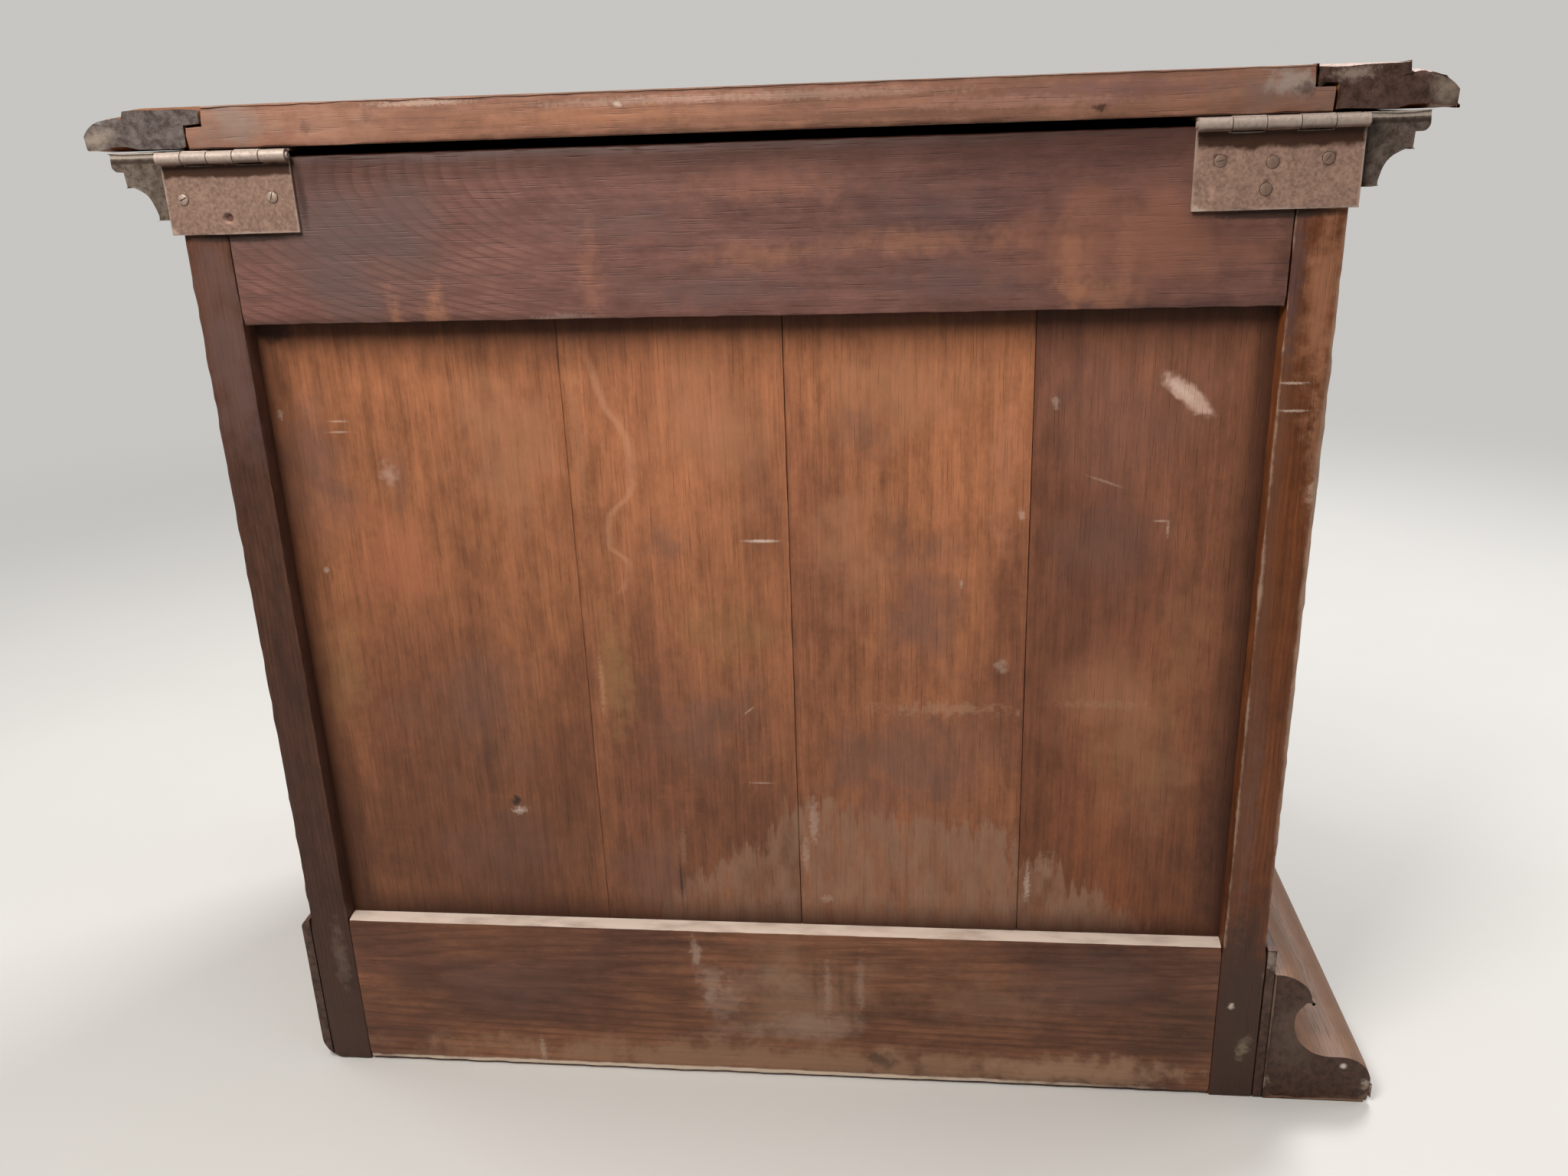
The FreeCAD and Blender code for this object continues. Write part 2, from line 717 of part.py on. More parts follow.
def make_floor():
    """Floor boards of the chest, from the drawer rail to a ledger across the back."""
    ledger_back = back_groove[0]
    depth = (ledger_back - dim["ledger_depth"], ledger_back)
    ledger_inner = back_inner
    keep(block("floor_ledger_bar", (-ledger_inner, ledger_inner), depth,
               (floor_low - dim["ledger_height"], floor_low)), "floor_ledger")
    gap = dim["floor_gap"]
    pitch = 2 * side_inner / FLOOR_BOARDS
    depth = (front_rail_back - dim["floor_groove_depth"], back_groove[0])
    notches = []
    for side in SIDES:
        notches.append(block(f"floor_front_notch_{side}",
                             mirrored(side, front_inner - gap, half_width),
                             (front, side_front + gap), (floor_low - gap, floor_top + gap)))
        notches.append(block(f"floor_back_notch_{side}",
                             mirrored(side, back_inner - gap, half_width),
                             (side_back - gap, back), (floor_low - gap, floor_top + gap)))
    boards = []
    for number in range(FLOOR_BOARDS):
        start = number * pitch - side_inner
        width = (start + gap / 2, start + pitch - gap / 2)
        board = block(f"floor_board_{number}", width, depth, (floor_low, floor_top))
        is_outer = number in (0, FLOOR_BOARDS - 1)
        boards.append(cut(f"floor_board_{number}_cut", board, notches) if is_outer else board)
    keep(group("chest_floor_boards", boards), "chest_floor_boards")


def make_runners():
    """Rebated runners: each carries a drawer's edge and guides its side."""
    depth = (front_rail_back, back_rail_front)
    bed = (bottom_rail_top - dim["runner_height"], bottom_rail_top)
    guide = cross(bottom_rail_top, dim["guide_height"])
    ledge = dim["runner_ledge"]
    for side in SIDES:
        label = f"drawer_runner_{side}"
        shapes = [
            block(f"{label}_bed", mirrored(side, front_inner - ledge, back_inner), depth, bed),
            block(f"{label}_guide", mirrored(side, front_inner, back_inner), depth, guide),
        ]
        notch = block(f"{label}_notch", mirrored(side, front_inner, half_width),
                      (front, side_front), (bed[0], guide[1]))
        keep(cut(f"{label}_cut", fuse(f"{label}_whole", shapes), [notch]), label)
    shapes = [
        block("drawer_runner_centre_bed", (-half_muntin - ledge, half_muntin + ledge), depth, bed),
        block("drawer_runner_centre_guide", (-half_muntin, half_muntin), depth, guide),
    ]
    keep(fuse("drawer_runner_centre_whole", shapes), "drawer_runner_centre")


def rounded_front(name, width, height, thickness):
    """A drawer front whose outer edges are rounded, with its low corner at the origin."""
    points = ((0, 0), (width, 0), (width, height), (0, height))
    body = prism(name, points, thickness)
    document.recompute()
    pad = body.Tip
    edges = [f"Edge{number}" for number, edge in enumerate(pad.Shape.Edges, start=1)
             if abs(edge.BoundBox.YMin) + abs(edge.BoundBox.YMax) < Part.Precision.confusion()]
    rounding = body.newObject("PartDesign::Fillet", f"{name}_rounding")
    rounding.Base = (pad, edges)
    rounding.setExpression("Radius", dim["drawer_front_round"].text)
    return body


def knob(name, spot):
    """A turned knob whose shank starts at the spot, with its head towards -Y."""
    shank = dim["knob_shank_diameter"] / 2
    collar = dim["knob_collar_diameter"] / 2
    head = dim["knob_diameter"] / 2
    face = dim["drawer_front_thickness"]
    rim = face + dim["knob_rim_height"]
    crown = face + dim["knob_projection"]
    points = (
        (0, 0),
        (shank, 0),
        (shank, face),
        (collar, face),
        (collar, face + dim["knob_collar_height"]),
        (head, rim, dim["knob_neck_radius"], -1),
        (0, crown, thumb_radius(head, crown - rim), 1),
    )
    body = document.addObject("PartDesign::Body", name)
    sketch = outline(body, f"{name}_outline", "XZ_Plane", points)
    turning = body.newObject("PartDesign::Revolution", f"{name}_turning")
    turning.Profile = sketch
    turning.ReferenceAxis = (sketch, ["V_Axis"])
    turning.Angle = 360.0
    return place(body, spot, (1, 0, 0), 90.0)


def dovetails(label, x_span, root, tip, z_span):
    """Tails up the end of a drawer's side, widening from root to tip."""
    height = z_span[1] - z_span[0]
    half_root = dim["tail_root_width"] / 2
    half_tip = half_root + dim["tail_flare"]
    halves = (half_root, half_tip)
    depth = (root, tip)
    if root.value > tip.value:
        halves = (half_tip, half_root)
        depth = (tip, root)
    tails = []
    for number, share in enumerate(TAIL_SHARES):
        middle = z_span[0] + share * height
        spans = [(middle - half, middle + half) for half in halves]
        tails.append(taper(f"{label}_{number}", (x_span, x_span), depth, spans))
    return tails


def make_drawer(side):
    """One drawer: front, dovetailed sides and back, bottom and knobs."""
    name = f"drawer_{side}"
    play = dim["drawer_play"]
    width = mirrored(side, half_muntin + play, front_inner - play)
    front_face = front - dim["drawer_front_proud"]
    front_back = front_face + dim["drawer_front_thickness"]
    end = back - dim["drawer_back_room"]
    back_front = end - dim["drawer_back_thickness"]
    front_low = bottom_rail_top + play
    front_top = drawer_rail_low - play
    low = bottom_rail_top + dim["drawer_running_gap"]
    side_top = front_top - dim["drawer_side_drop"]
    bottom = cross(low + dim["drawer_bottom_lift"], dim["drawer_bottom_thickness"])
    back_height = (bottom[1], side_top - dim["drawer_back_drop"])
    wall = dim["drawer_side_thickness"]
    depth = dim["drawer_groove_depth"]
    inside = (width[0] + wall, width[1] - wall)
    groove = block(f"{name}_groove", (inside[0] - depth, inside[1] + depth),
                   (front_back - depth, end + dim["overrun"]), bottom)
    walls = []
    for hand, x_span in (("left", (width[0], inside[0])), ("right", (inside[1], width[1]))):
        label = f"{name}_side_{hand}"
        board = block(f"{label}_board", x_span, (front_back, back_front), (low, side_top))
        tails = dovetails(f"{label}_front_tail", x_span, front_back, front_back - dim["tail_length"],
                          (low, side_top))
        tails += dovetails(f"{label}_back_tail", x_span, back_front, end, back_height)
        wall_piece = cut(f"{label}_cut", fuse(f"{label}_tailed", [board, *tails]), [groove])
        walls.append(keep(wall_piece, label))
    facing = rounded_front(f"{name}_facing", width[1] - width[0], front_top - front_low,
                           dim["drawer_front_thickness"])
    place(facing, (width[0], front_face, front_low))
    knobs = []
    holes = []
    hole_radius = dim["knob_shank_diameter"] / 2 + dim["knob_shank_room"]
    middle = (front_low + front_top) / 2
    for number, share in enumerate(KNOB_SHARES):
        across = width[0] + share * (width[1] - width[0])
        knobs.append(knob(f"{name}_knob_{number}", (across, front_back, middle)))
        holes.append(rod(f"{name}_knob_hole_{number}", hole_radius,
                         dim["drawer_front_thickness"] + 2 * dim["overrun"],
                         (across, front_back + dim["overrun"], middle), (1, 0, 0), 90.0))
    keep(cut(f"{name}_front_cut", facing, [*walls, groove, *holes]), f"{name}_front")
    board = block(f"{name}_back_board", width, (back_front, end), back_height)
    keep(cut(f"{name}_back_cut", board, walls), f"{name}_back")
    room = depth - dim["drawer_groove_room"]
    keep(block(f"{name}_bottom_board", (inside[0] - room, inside[1] + room),
               (front_back - room, end), bottom), f"{name}_bottom")
    keep(group(f"{name}_knobs", knobs), f"{name}_knobs")


def make_cornice():
    """Cornice on the front and the two sides, mitred at the front corners."""
    projection = dim["cornice_projection"]
    foot = dim["cornice_foot_width"]
    cove = dim["cornice_cove_radius"]
    cove_top = dim["cornice_foot_height"] + cove
    fascia = foot + cove
    step_low = cove_top + dim["cornice_fascia_height"]
    round_width = projection - fascia - dim["cornice_step_width"]
    round_top = step_low + dim["cornice_round_height"]
    points = (
        (0, 0),
        (foot, 0),
        (foot, dim["cornice_foot_height"]),
        (fascia, cove_top, cove, -1),
        (fascia, step_low),
        (projection - round_width, step_low),
        (projection, round_top, thumb_radius(dim["cornice_round_height"], round_width), 1),
        (projection, dim["cornice_height"]),
        (0, dim["cornice_height"]),
    )
    low = top + dim["cornice_rise"] - dim["cornice_height"]
    returns = dim["case_depth"] + projection
    moulding("cornice_right", points, (half_width, front - projection, low), 0.0,
             returns, projection, ("start",))
    moulding("cornice_left", points, (-half_width, back, low), 180.0, returns, projection, ("end",))
    moulding("cornice_front", points, (-half_width - projection, front, low), -90.0,
             dim["case_width"] + 2 * projection, projection, ("start", "end"))


def make_plinth():
    """Grounds on three sides, and the base moulding planted on the front and left grounds."""
    thick = dim["ground_thickness"]
    ground = ((0, 0), (thick, 0), (thick, dim["ground_height"]), (0, dim["ground_height"]))
    returns = dim["case_depth"] + thick
    moulding("plinth_ground_right", ground, (half_width, front - thick, 0), 0.0,
             returns, thick, ("start",))
    moulding("plinth_ground_left", ground, (-half_width, back, 0), 180.0, returns, thick, ("end",))
    moulding("plinth_ground_front", ground, (-half_width - thick, front, 0), -90.0,
             dim["case_width"] + 2 * thick, thick, ("start", "end"))
    projection = dim["plinth_projection"]
    foot = dim["plinth_foot_round"]
    torus = dim["plinth_torus_radius"]
    torus_top = dim["plinth_torus_base"] + torus
    shelf_end = projection - torus
    shelf_start = shelf_end - dim["plinth_shelf_width"]
    ledge = dim["plinth_top_ledge"]
    bead_out = ledge + dim["plinth_bead_width"]
    bead_low = dim["plinth_height"] - dim["plinth_bead_drop"]
    quirk = bead_low - dim["plinth_bead_edge"]
    bead_radius = thumb_radius(dim["plinth_bead_width"], dim["plinth_bead_drop"])
    points = (
        (0, 0),
        (projection - foot, 0),
        (projection, foot, foot, 1),
        (projection, dim["plinth_torus_base"]),
        (shelf_end, torus_top, torus, 1),
        (shelf_start, torus_top),
        (bead_out - dim["plinth_quirk_width"], quirk, dim["plinth_cove_radius"], -1),
        (bead_out, quirk),
        (bead_out, bead_low),
        (ledge, dim["plinth_height"], bead_radius, 1),
        (0, dim["plinth_height"]),
    )
    moulding("plinth_moulding_left", points, (-half_width - thick, back, 0), 180.0,
             returns + projection, projection, ("end",))
    moulding("plinth_moulding_front", points,
             (-half_width - thick - projection, front - thick, 0), -90.0,
             dim["case_width"] + 2 * (thick + projection), projection, ("start", "end"))


def edge_cutter(name, spot, degrees, length):
    """What the thumb moulding takes off the lid's edge, facing out along the turned +X."""
    thumb = dim["lid_thumb_width"]
    inset = thumb + dim["lid_fillet_width"]
    low = dim["lid_thumb_drop"]
    step = low + dim["lid_fillet_drop"]
    over = dim["overrun"]
    points = (
        (inset + over, 0),
        (inset + over, step + over),
        (0, step + over),
        (0, low),
        (dim["lid_fillet_width"], low),
        (inset, 0, thumb_radius(thumb, low), -1),
    )
    return place(prism(name, points, length), spot, degrees=degrees)


def make_lid():
    """Lid of two boards lapped under its cleats, with a thumb moulding on the front and the ends."""
    half_length = half_width + dim["lid_overhang"]
    front_edge = front - dim["lid_overhang"]
    back_edge = back + dim["lid_back_overhang"]
    over = dim["overrun"]
    height = (lid_low, lid_top)
    inset = dim["lid_thumb_width"] + dim["lid_fillet_width"]
    cut_low = lid_top - dim["lid_thumb_drop"] - dim["lid_fillet_drop"]
    run = back_edge - front_edge + 2 * over
    cutters = {
        "right": edge_cutter("lid_right_edge", (half_length - inset, front_edge - over, cut_low), 0.0, run),
        "left": edge_cutter("lid_left_edge", (inset - half_length, back_edge + over, cut_low), 180.0, run),
        "front": edge_cutter("lid_front_edge", (-half_length - over, front_edge + inset, cut_low),
                             -90.0, 2 * (half_length + over)),
    }
    shoulder = half_length - dim["lid_cleat_width"]
    tongue_end = shoulder + dim["lid_tongue_length"]
    tongue_height = (lid_low, lid_low + dim["lid_tongue_thickness"])
    joint = (front_edge + back_edge) / 2
    tongue_cuts = [cutters["front"], *all_lid_holes]
    for label, depth in (("lid_board_front", (front_edge, joint)), ("lid_board_back", (joint, back_edge))):
        shapes = [
            block(f"{label}_board", (-shoulder, shoulder), depth, height),
            block(f"{label}_tongue", (-tongue_end, tongue_end), depth, tongue_height),
        ]
        keep(cut(f"{label}_cut", fuse(f"{label}_tongued", shapes), tongue_cuts), label)
    for side in SIDES:
        label = f"lid_cleat_{side}"
        board = block(f"{label}_board", mirrored(side, shoulder, half_length), (front_edge, back_edge), height)
        groove = block(f"{label}_groove", mirrored(side, shoulder, tongue_end),
                       (front_edge, back_edge), tongue_height)
        keep(cut(f"{label}_cut", board, [groove, cutters[side], cutters["front"],
                                         *screws[side]["lid_holes"]]), label)


def make_hinge(side):
    """One butt hinge: a leaf on the case's back, a leaf under the lid, and the pin."""
    end, length, leaf = hinge_frame(side)
    x_span = mirrored(side, end - length, end)
    lid_span = mirrored(side, end - length, half_width - dim["hinge_barrel_clearance"])
    thick = dim["hinge_thickness"]
    pitch = length / KNUCKLES
    gap = dim["hinge_knuckle_gap"]
    plates = {
        "case": (x_span, (back, back + thick), (axis_z - leaf, axis_z - barrel_offset)),
        "lid": (lid_span, (axis_y - leaf, axis_y - barrel_offset), (lid_low - thick, lid_low)),
    }
    tabs = {
        "case": ((back, back + thick), (axis_z - barrel_offset, axis_z)),
        "lid": ((axis_y - barrel_offset, axis_y), (lid_low - thick, lid_low)),
    }
    over = dim["overrun"]
    bore = rod(f"hinge_{side}_bore", dim["hinge_pin_diameter"] / 2 + dim["hinge_pin_clearance"],
               length + 2 * over, (x_span[0] - over, axis_y, axis_z), (0, 1, 0), 90.0)
    for order, owner in enumerate(plates):
        label = f"hinge_{side}_{owner}_leaf"
        shapes = [block(f"{label}_plate", *plates[owner])]
        for number in range(order, KNUCKLES, len(plates)):
            start = x_span[0] + number * pitch + gap / 2
            knuckle = cross(start, pitch - gap)
            shapes.append(block(f"{label}_tab_{number}", knuckle, *tabs[owner]))
            shapes.append(rod(f"{label}_knuckle_{number}", barrel_radius, pitch - gap,
                              (start, axis_y, axis_z), (0, 1, 0), 90.0))
        keep(cut(f"{label}_cut", fuse(f"{label}_whole", shapes),
                 [bore, *screws[side][f"{owner}_holes"]]), label)
    proud = dim["hinge_pin_proud"]
    return rod(f"hinge_{side}_pin", dim["hinge_pin_diameter"] / 2, length + 2 * proud,
               (x_span[0] - proud, axis_y, axis_z), (0, 1, 0), 90.0)


make_front_frame()
make_back_frame()
make_sides()
make_posts()
make_floor()
make_runners()
for hand in SIDES:
    make_drawer(hand)
make_cornice()
make_plinth()
make_lid()
pins = [make_hinge(hand) for hand in SIDES]
keep(group("hinge_pins_group", pins), "hinge_pins")
for owner in ("case", "lid"):
    driven = [item for made in screws.values() for item in made[f"{owner}_screws"]]
    keep(group(f"{owner}_hinge_screws_group", driven), f"{owner}_hinge_screws")
keep(group("joint_pegs_group", pegs), "joint_pegs")

document.recompute()
for thing in document.Objects:
    if "Invalid" in thing.State or "Error" in thing.State:
        raise RuntimeError(f"{thing.Label} failed: {thing.State}")
for piece in pieces:
    if piece.Shape.isNull() or not piece.Shape.isValid():
        raise RuntimeError(f"{piece.Label} has no valid shape")

os.makedirs("parts", exist_ok=True)
for piece in pieces:
    piece.Shape.exportStep(f"parts/{piece.Label}.step")
    print(piece.Label, len(piece.Shape.Solids), round(piece.Shape.Volume))
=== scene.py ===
"""Looks of an old mule chest: worn oak, rusty butt hinges, and the stage that it is seen on."""
import math

import bmesh
import bpy
import numpy as np
from bpy.props import FloatProperty, FloatVectorProperty, PointerProperty
from mathutils import Matrix, Vector


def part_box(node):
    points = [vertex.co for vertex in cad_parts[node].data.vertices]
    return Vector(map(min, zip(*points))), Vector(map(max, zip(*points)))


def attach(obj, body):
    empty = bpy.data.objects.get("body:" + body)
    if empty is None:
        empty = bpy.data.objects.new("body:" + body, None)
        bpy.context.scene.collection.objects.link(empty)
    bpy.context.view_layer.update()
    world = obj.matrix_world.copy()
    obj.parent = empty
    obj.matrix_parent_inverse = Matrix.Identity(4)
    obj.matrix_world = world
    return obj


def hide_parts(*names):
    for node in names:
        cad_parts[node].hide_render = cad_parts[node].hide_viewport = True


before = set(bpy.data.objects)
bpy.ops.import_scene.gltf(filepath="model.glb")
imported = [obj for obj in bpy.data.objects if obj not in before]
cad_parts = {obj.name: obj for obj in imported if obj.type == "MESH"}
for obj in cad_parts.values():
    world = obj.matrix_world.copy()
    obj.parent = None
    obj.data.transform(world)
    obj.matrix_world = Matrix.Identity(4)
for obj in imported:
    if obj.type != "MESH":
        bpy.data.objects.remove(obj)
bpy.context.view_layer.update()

bl_info = {
    "name": "Mule Chest",
    "version": (1, 0, 0),
    "blender": (4, 5, 0),
    "location": "View3D > Sidebar > Mule Chest",
    "description": "Dresses an old panelled oak chest with drawers",
    "category": "Object",
}

SIDES = ("left", "right")
AXES = "XYZ"

# Shortest edge that is eased on a board or cleat, a front, a bar or panel, a hinge leaf and a moulding
BOARD_EDGE = 0.1
FRONT_EDGE = 0.05
BAR_EDGE = 0.02
LEAF_EDGE = 0.015
RUN_EDGE = 0.012
# How far from a bare end it crumbles, on a run of moulding, a cleat and a foot
RUN_END = 0.012
CLEAT_END = 0.02
FOOT_END = 0.03
# Length of the crumbs and the dents at a bare end, against that of a chip
CRUMB_SHARE = 0.7
DENT_SHARE = 2.0
# How far the softened step behind a cleat's nose reaches, in widths of the nose
STEP_REACH = 2.4
# Cuts that round the right back foot, in degrees below level, and how far they lean to the back
FOOT_CUTS = (8.0, 27.0, 45.0, 63.0, 82.0)
FOOT_LEAN = 0.4
# Angle up to which faces are joined, over which an edge is an arris, and up to which shading is smooth
FLAT_ANGLE = math.radians(1.0)
ARRIS_ANGLE = math.radians(40)
SMOOTH_ANGLE = math.radians(35)
# How near points are that become one, and that lie on the same edge
WELD = 1e-5
TOUCH = 1e-4
# Share of an edge's length that lies along an axis where the edge counts as running along it
ALONG_SHARE = 0.99

# Order of a piece's axes: along the grain, across the face, into the wood
RAIL_GRAIN = "XZY"
UPRIGHT_GRAIN = "ZXY"
SIDE_RAIL_GRAIN = "YZX"
SIDE_UPRIGHT_GRAIN = "ZYX"
FLAT_GRAIN = "XYZ"
CLEAT_GRAIN = "YXZ"

# Tones of the marks on the wood, and of painted shade and highlights
PALE = (0.640, 0.510, 0.420)
CHALK = (0.305, 0.176, 0.114)
WARM = (0.400, 0.180, 0.095)
PLUM = (0.150, 0.080, 0.062)
OCHRE = (0.340, 0.180, 0.072)
MAUVE = (0.125, 0.075, 0.068)
# Soot and dirt, and also painted shade and shadows in corners, gaps and under parts
SOOT_AND_SHADE = (0.022, 0.012, 0.008)
RUSSET = (0.300, 0.130, 0.085)
STREAK = (0.560, 0.280, 0.160)
# Pale worn fillet, with a painted highlight where light from above falls on it
LIT_FILLET = (0.460, 0.390, 0.330)
# Iron where the arrises of a hinge are rubbed
BARE_IRON = (0.520, 0.410, 0.340)
# What a stain multiplies the wood by
STAIN_TINT = (0.60, 0.58, 0.66)
# Heights from which and down to which a piece fades to its foot's tone, a painted shade towards the floor
FOOT_SHADE_FADE = (0.66, 0.15)
# Half size of a mark through the wood, so that it shows at any depth, and grains in its smaller half size
THROUGH = 100.0
EDGE_GRAINS = 1.4


def length_setting(name, description, default):
    """A length that a user may change."""
    return FloatProperty(name=name, description=description, default=default, min=0.0, unit="LENGTH",
                         precision=4)


def colour_setting(name, description, default):
    """A colour that a user may change."""
    return FloatVectorProperty(name=name, description=description, default=default, size=3, min=0.0, max=1.0,
                               subtype="COLOR")


class MuleChestSizes(bpy.types.PropertyGroup):
    """Sizes of the wear on the chest."""

    arris_ease: length_setting("Arris", "Width of a worn arris", 0.0016)
    fine_ease: length_setting("Fine arris", "Width of the arris of a thin piece", 0.0006)
    wear_reach: length_setting("Wear reach", "How far wear reaches from an arris", 0.008)
    joint_close: length_setting("Joint closing", "How far a back board's edge moves into its joint", 0.00028)
    tight_close: length_setting("Tight joint closing", "The same at the joint that is nearly shut", 0.00044)
    joint_ease: length_setting("Joint arris", "Width of the arris of a back board", 0.0002)
    nose_ease: length_setting("Nose arris", "Width of the worn arris of a lid cleat", 0.0030)
    nose_width: length_setting("Nose width", "Width of a lid cleat's rounded nose", 0.014)
    bare_ease: length_setting("Bare strip arris", "Width of the arris of the strip without moulding", 0.0080)
    moulding_pitch: length_setting("Moulding pitch", "Size of the mesh on the mouldings and the lid", 0.0105)
    panel_pitch: length_setting("Panel pitch", "Size of the mesh on the panels", 0.012)
    pitch: length_setting("Pitch", "Size of the mesh on the seen faces", 0.008)
    coarse_pitch: length_setting("Coarse pitch", "Size of the mesh on the other faces", 0.018)
    wobble: length_setting("Wobble", "Depth of the hand-planed unevenness", 0.0006)
    wobble_size: length_setting("Wobble size", "Length of the hand-planed unevenness", 0.14)
    chip: length_setting("Chips", "Depth of chips along an arris", 0.0024)
    chip_size: length_setting("Chip size", "Length of chips along an arris", 0.02)
    end_wear: length_setting("End wear", "Depth of wear on bare end grain", 0.0045)
    # Painted shade in the inner corners reaches this far
    nook_reach: length_setting("Nook reach", "How far grime reaches from an inner corner", 0.035)
    foot_round: length_setting("Foot round", "Radius of the worn corner of the right back foot", 0.024)
    screw_radius: length_setting("Screw head", "Radius of a hinge screw's head", 0.0043)
    screw_rise: length_setting("Screw rise", "Height of a hinge screw's head", 0.0016)


class MuleChestColours(bpy.types.PropertyGroup):
    """Colours of the chest's finishes."""

    board: colour_setting("Back boards", "Light tone of the back boards", (0.515, 0.198, 0.090))
    board_dark: colour_setting("Dark back board", "Light tone of the darkest board", (0.318, 0.126, 0.068))
    back_rail: colour_setting("Back top rail", "Light tone of the back top rail", (0.250, 0.114, 0.090))
    foot_rail: colour_setting("Back foot rail", "Light tone of the back bottom rail", (0.328, 0.136, 0.069))
    back_post: colour_setting("Right back post", "Light tone of the right back post", (0.142, 0.058, 0.034))
    orange_post: colour_setting("Left back post", "Light tone of the left back post", (0.263, 0.078, 0.022))
    lid: colour_setting("Lid", "Light tone of the waxed lid", (0.300, 0.124, 0.052))
    lid_edge: colour_setting("Lid edge", "Light tone of the lid's bare back edge", (0.390, 0.190, 0.125))
    waxed: colour_setting("Waxed oak", "Light tone of the waxed front and sides", (0.270, 0.108, 0.042))
    plinth: colour_setting("Plinth", "Light tone of the base moulding", (0.205, 0.091, 0.043))
    inner: colour_setting("Inside", "Light tone of bare oak inside", (0.400, 0.270, 0.160))
    worn: colour_setting("Worn wood", "Bare wood where an arris is rubbed", (0.400, 0.270, 0.190))
    dust: colour_setting("Dust", "Pale dust on ledges", (0.720, 0.590, 0.500))
    # Painted shade in the inner corners and recesses, where less light falls
    grime: colour_setting("Grime", "Painted shade in the corners", (0.028, 0.008, 0.003))
    iron: colour_setting("Hinge iron", "Tan coat on the hinges", (0.290, 0.180, 0.136))
    # Rubbed iron of the barrels, with a painted highlight on their lit tops
    barrel: colour_setting("Hinge barrel", "Rubbed iron of the barrels", (0.430, 0.350, 0.300))
    rust: colour_setting("Rust", "Rust on the hinges", (0.110, 0.037, 0.013))
    floor: colour_setting("Floor", "Studio floor", (0.640, 0.625, 0.600))
    backdrop: colour_setting("Backdrop", "Studio backdrop", (0.620, 0.610, 0.590))


def settings():
    """The sizes and colours of this scene."""
    scene = bpy.context.scene
    return scene.mule_chest_sizes, scene.mule_chest_colours


# Modelling


def pick(piece):
    """Selects one piece and makes it active."""
    bpy.ops.object.select_all(action="DESELECT")
    bpy.context.view_layer.objects.active = piece
    piece.select_set(True)


def edit(piece):
    """Opens a piece for editing, with all of it selected."""
    pick(piece)
    bpy.ops.object.mode_set(mode="EDIT")
    bpy.ops.mesh.select_mode(type="EDGE")
    bpy.ops.mesh.select_all(action="SELECT")


def done():
    """Closes the piece that is open for editing."""
    bpy.ops.object.mode_set(mode="OBJECT")


def new_piece(name, make, **options):
    """A simple shape that an operator makes, with its place put into its mesh."""
    bpy.ops.object.select_all(action="DESELECT")
    make(**options)
    bpy.ops.object.transform_apply(location=True, rotation=True, scale=True)
    piece = bpy.context.object
    piece.name = name
    piece.data.name = name
    return piece


def copy_piece(node):
    """A copy of a node's shape with its loose triangles joined to faces."""
    name = f"{node}_worn"
    piece = bpy.data.objects.new(name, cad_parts[node].data.copy())
    bpy.context.scene.collection.objects.link(piece)
    piece.data.name = name
    piece.data.materials.clear()
    edit(piece)
    bpy.ops.mesh.customdata_custom_splitnormals_clear()
    bpy.ops.mesh.remove_doubles(threshold=WELD)
    bpy.ops.mesh.dissolve_limited(angle_limit=FLAT_ANGLE)
    bpy.ops.mesh.normals_make_consistent(inside=False)
    if bmesh.from_edit_mesh(piece.data).calc_volume(signed=True) < 0:
        bpy.ops.mesh.flip_normals()
    done()
    return piece


def runs_along(span, axis):
    """Whether an edge with this span runs along an axis, given by its number."""
    return abs(span[axis]) > ALONG_SHARE * span.length


def pick_arrises(piece, shortest, along):
    """Selects the sharp outward edges of an open piece, and gives their ends."""
    grid = bmesh.from_edit_mesh(piece.data)
    for edge in grid.edges:
        edge.select_set(False)
    segments = []
    for edge in grid.edges:
        span = edge.verts[1].co - edge.verts[0].co
        is_sharp = len(edge.link_faces) == 2 and edge.calc_face_angle_signed() > ARRIS_ANGLE
        is_along = not along or runs_along(span, AXES.index(along))
        if is_sharp and is_along and span.length >= shortest:
            edge.select_set(True)
            segments.append([list(vert.co) for vert in edge.verts])
    bmesh.update_edit_mesh(piece.data)
    return np.array(segments)


def pick_points(piece, wanted):
    """Selects the points of an open piece whose places pass a test."""
    bpy.ops.mesh.select_mode(type="VERT")
    grid = bmesh.from_edit_mesh(piece.data)
    for vert in grid.verts:
        vert.select_set(wanted(vert.co))
    bmesh.update_edit_mesh(piece.data)


def ease(piece, width, shortest=BAR_EDGE, along=""):
    """Rounds the sharp outward edges, or those along one axis, and gives where they were."""
    edit(piece)
    segments = pick_arrises(piece, shortest, along)
    if len(segments):
        bpy.ops.mesh.bevel(offset=width, segments=2, affect="EDGES", clamp_overlap=True)
    done()
    return segments


def divide(piece, pitch):
    """Divides a bar's faces into small ones, axis by axis."""
    edit(piece)
    for axis in range(3):
        grid = bmesh.from_edit_mesh(piece.data)
        longest = 0.0
        for edge in grid.edges:
            span = edge.verts[1].co - edge.verts[0].co
            is_long = runs_along(span, axis) and span.length > pitch
            edge.select_set(is_long)
            longest = max(longest, span.length if is_long else 0.0)
        bmesh.update_edit_mesh(piece.data)
        if longest:
            bpy.ops.mesh.subdivide(number_cuts=int(longest / pitch))
    done()


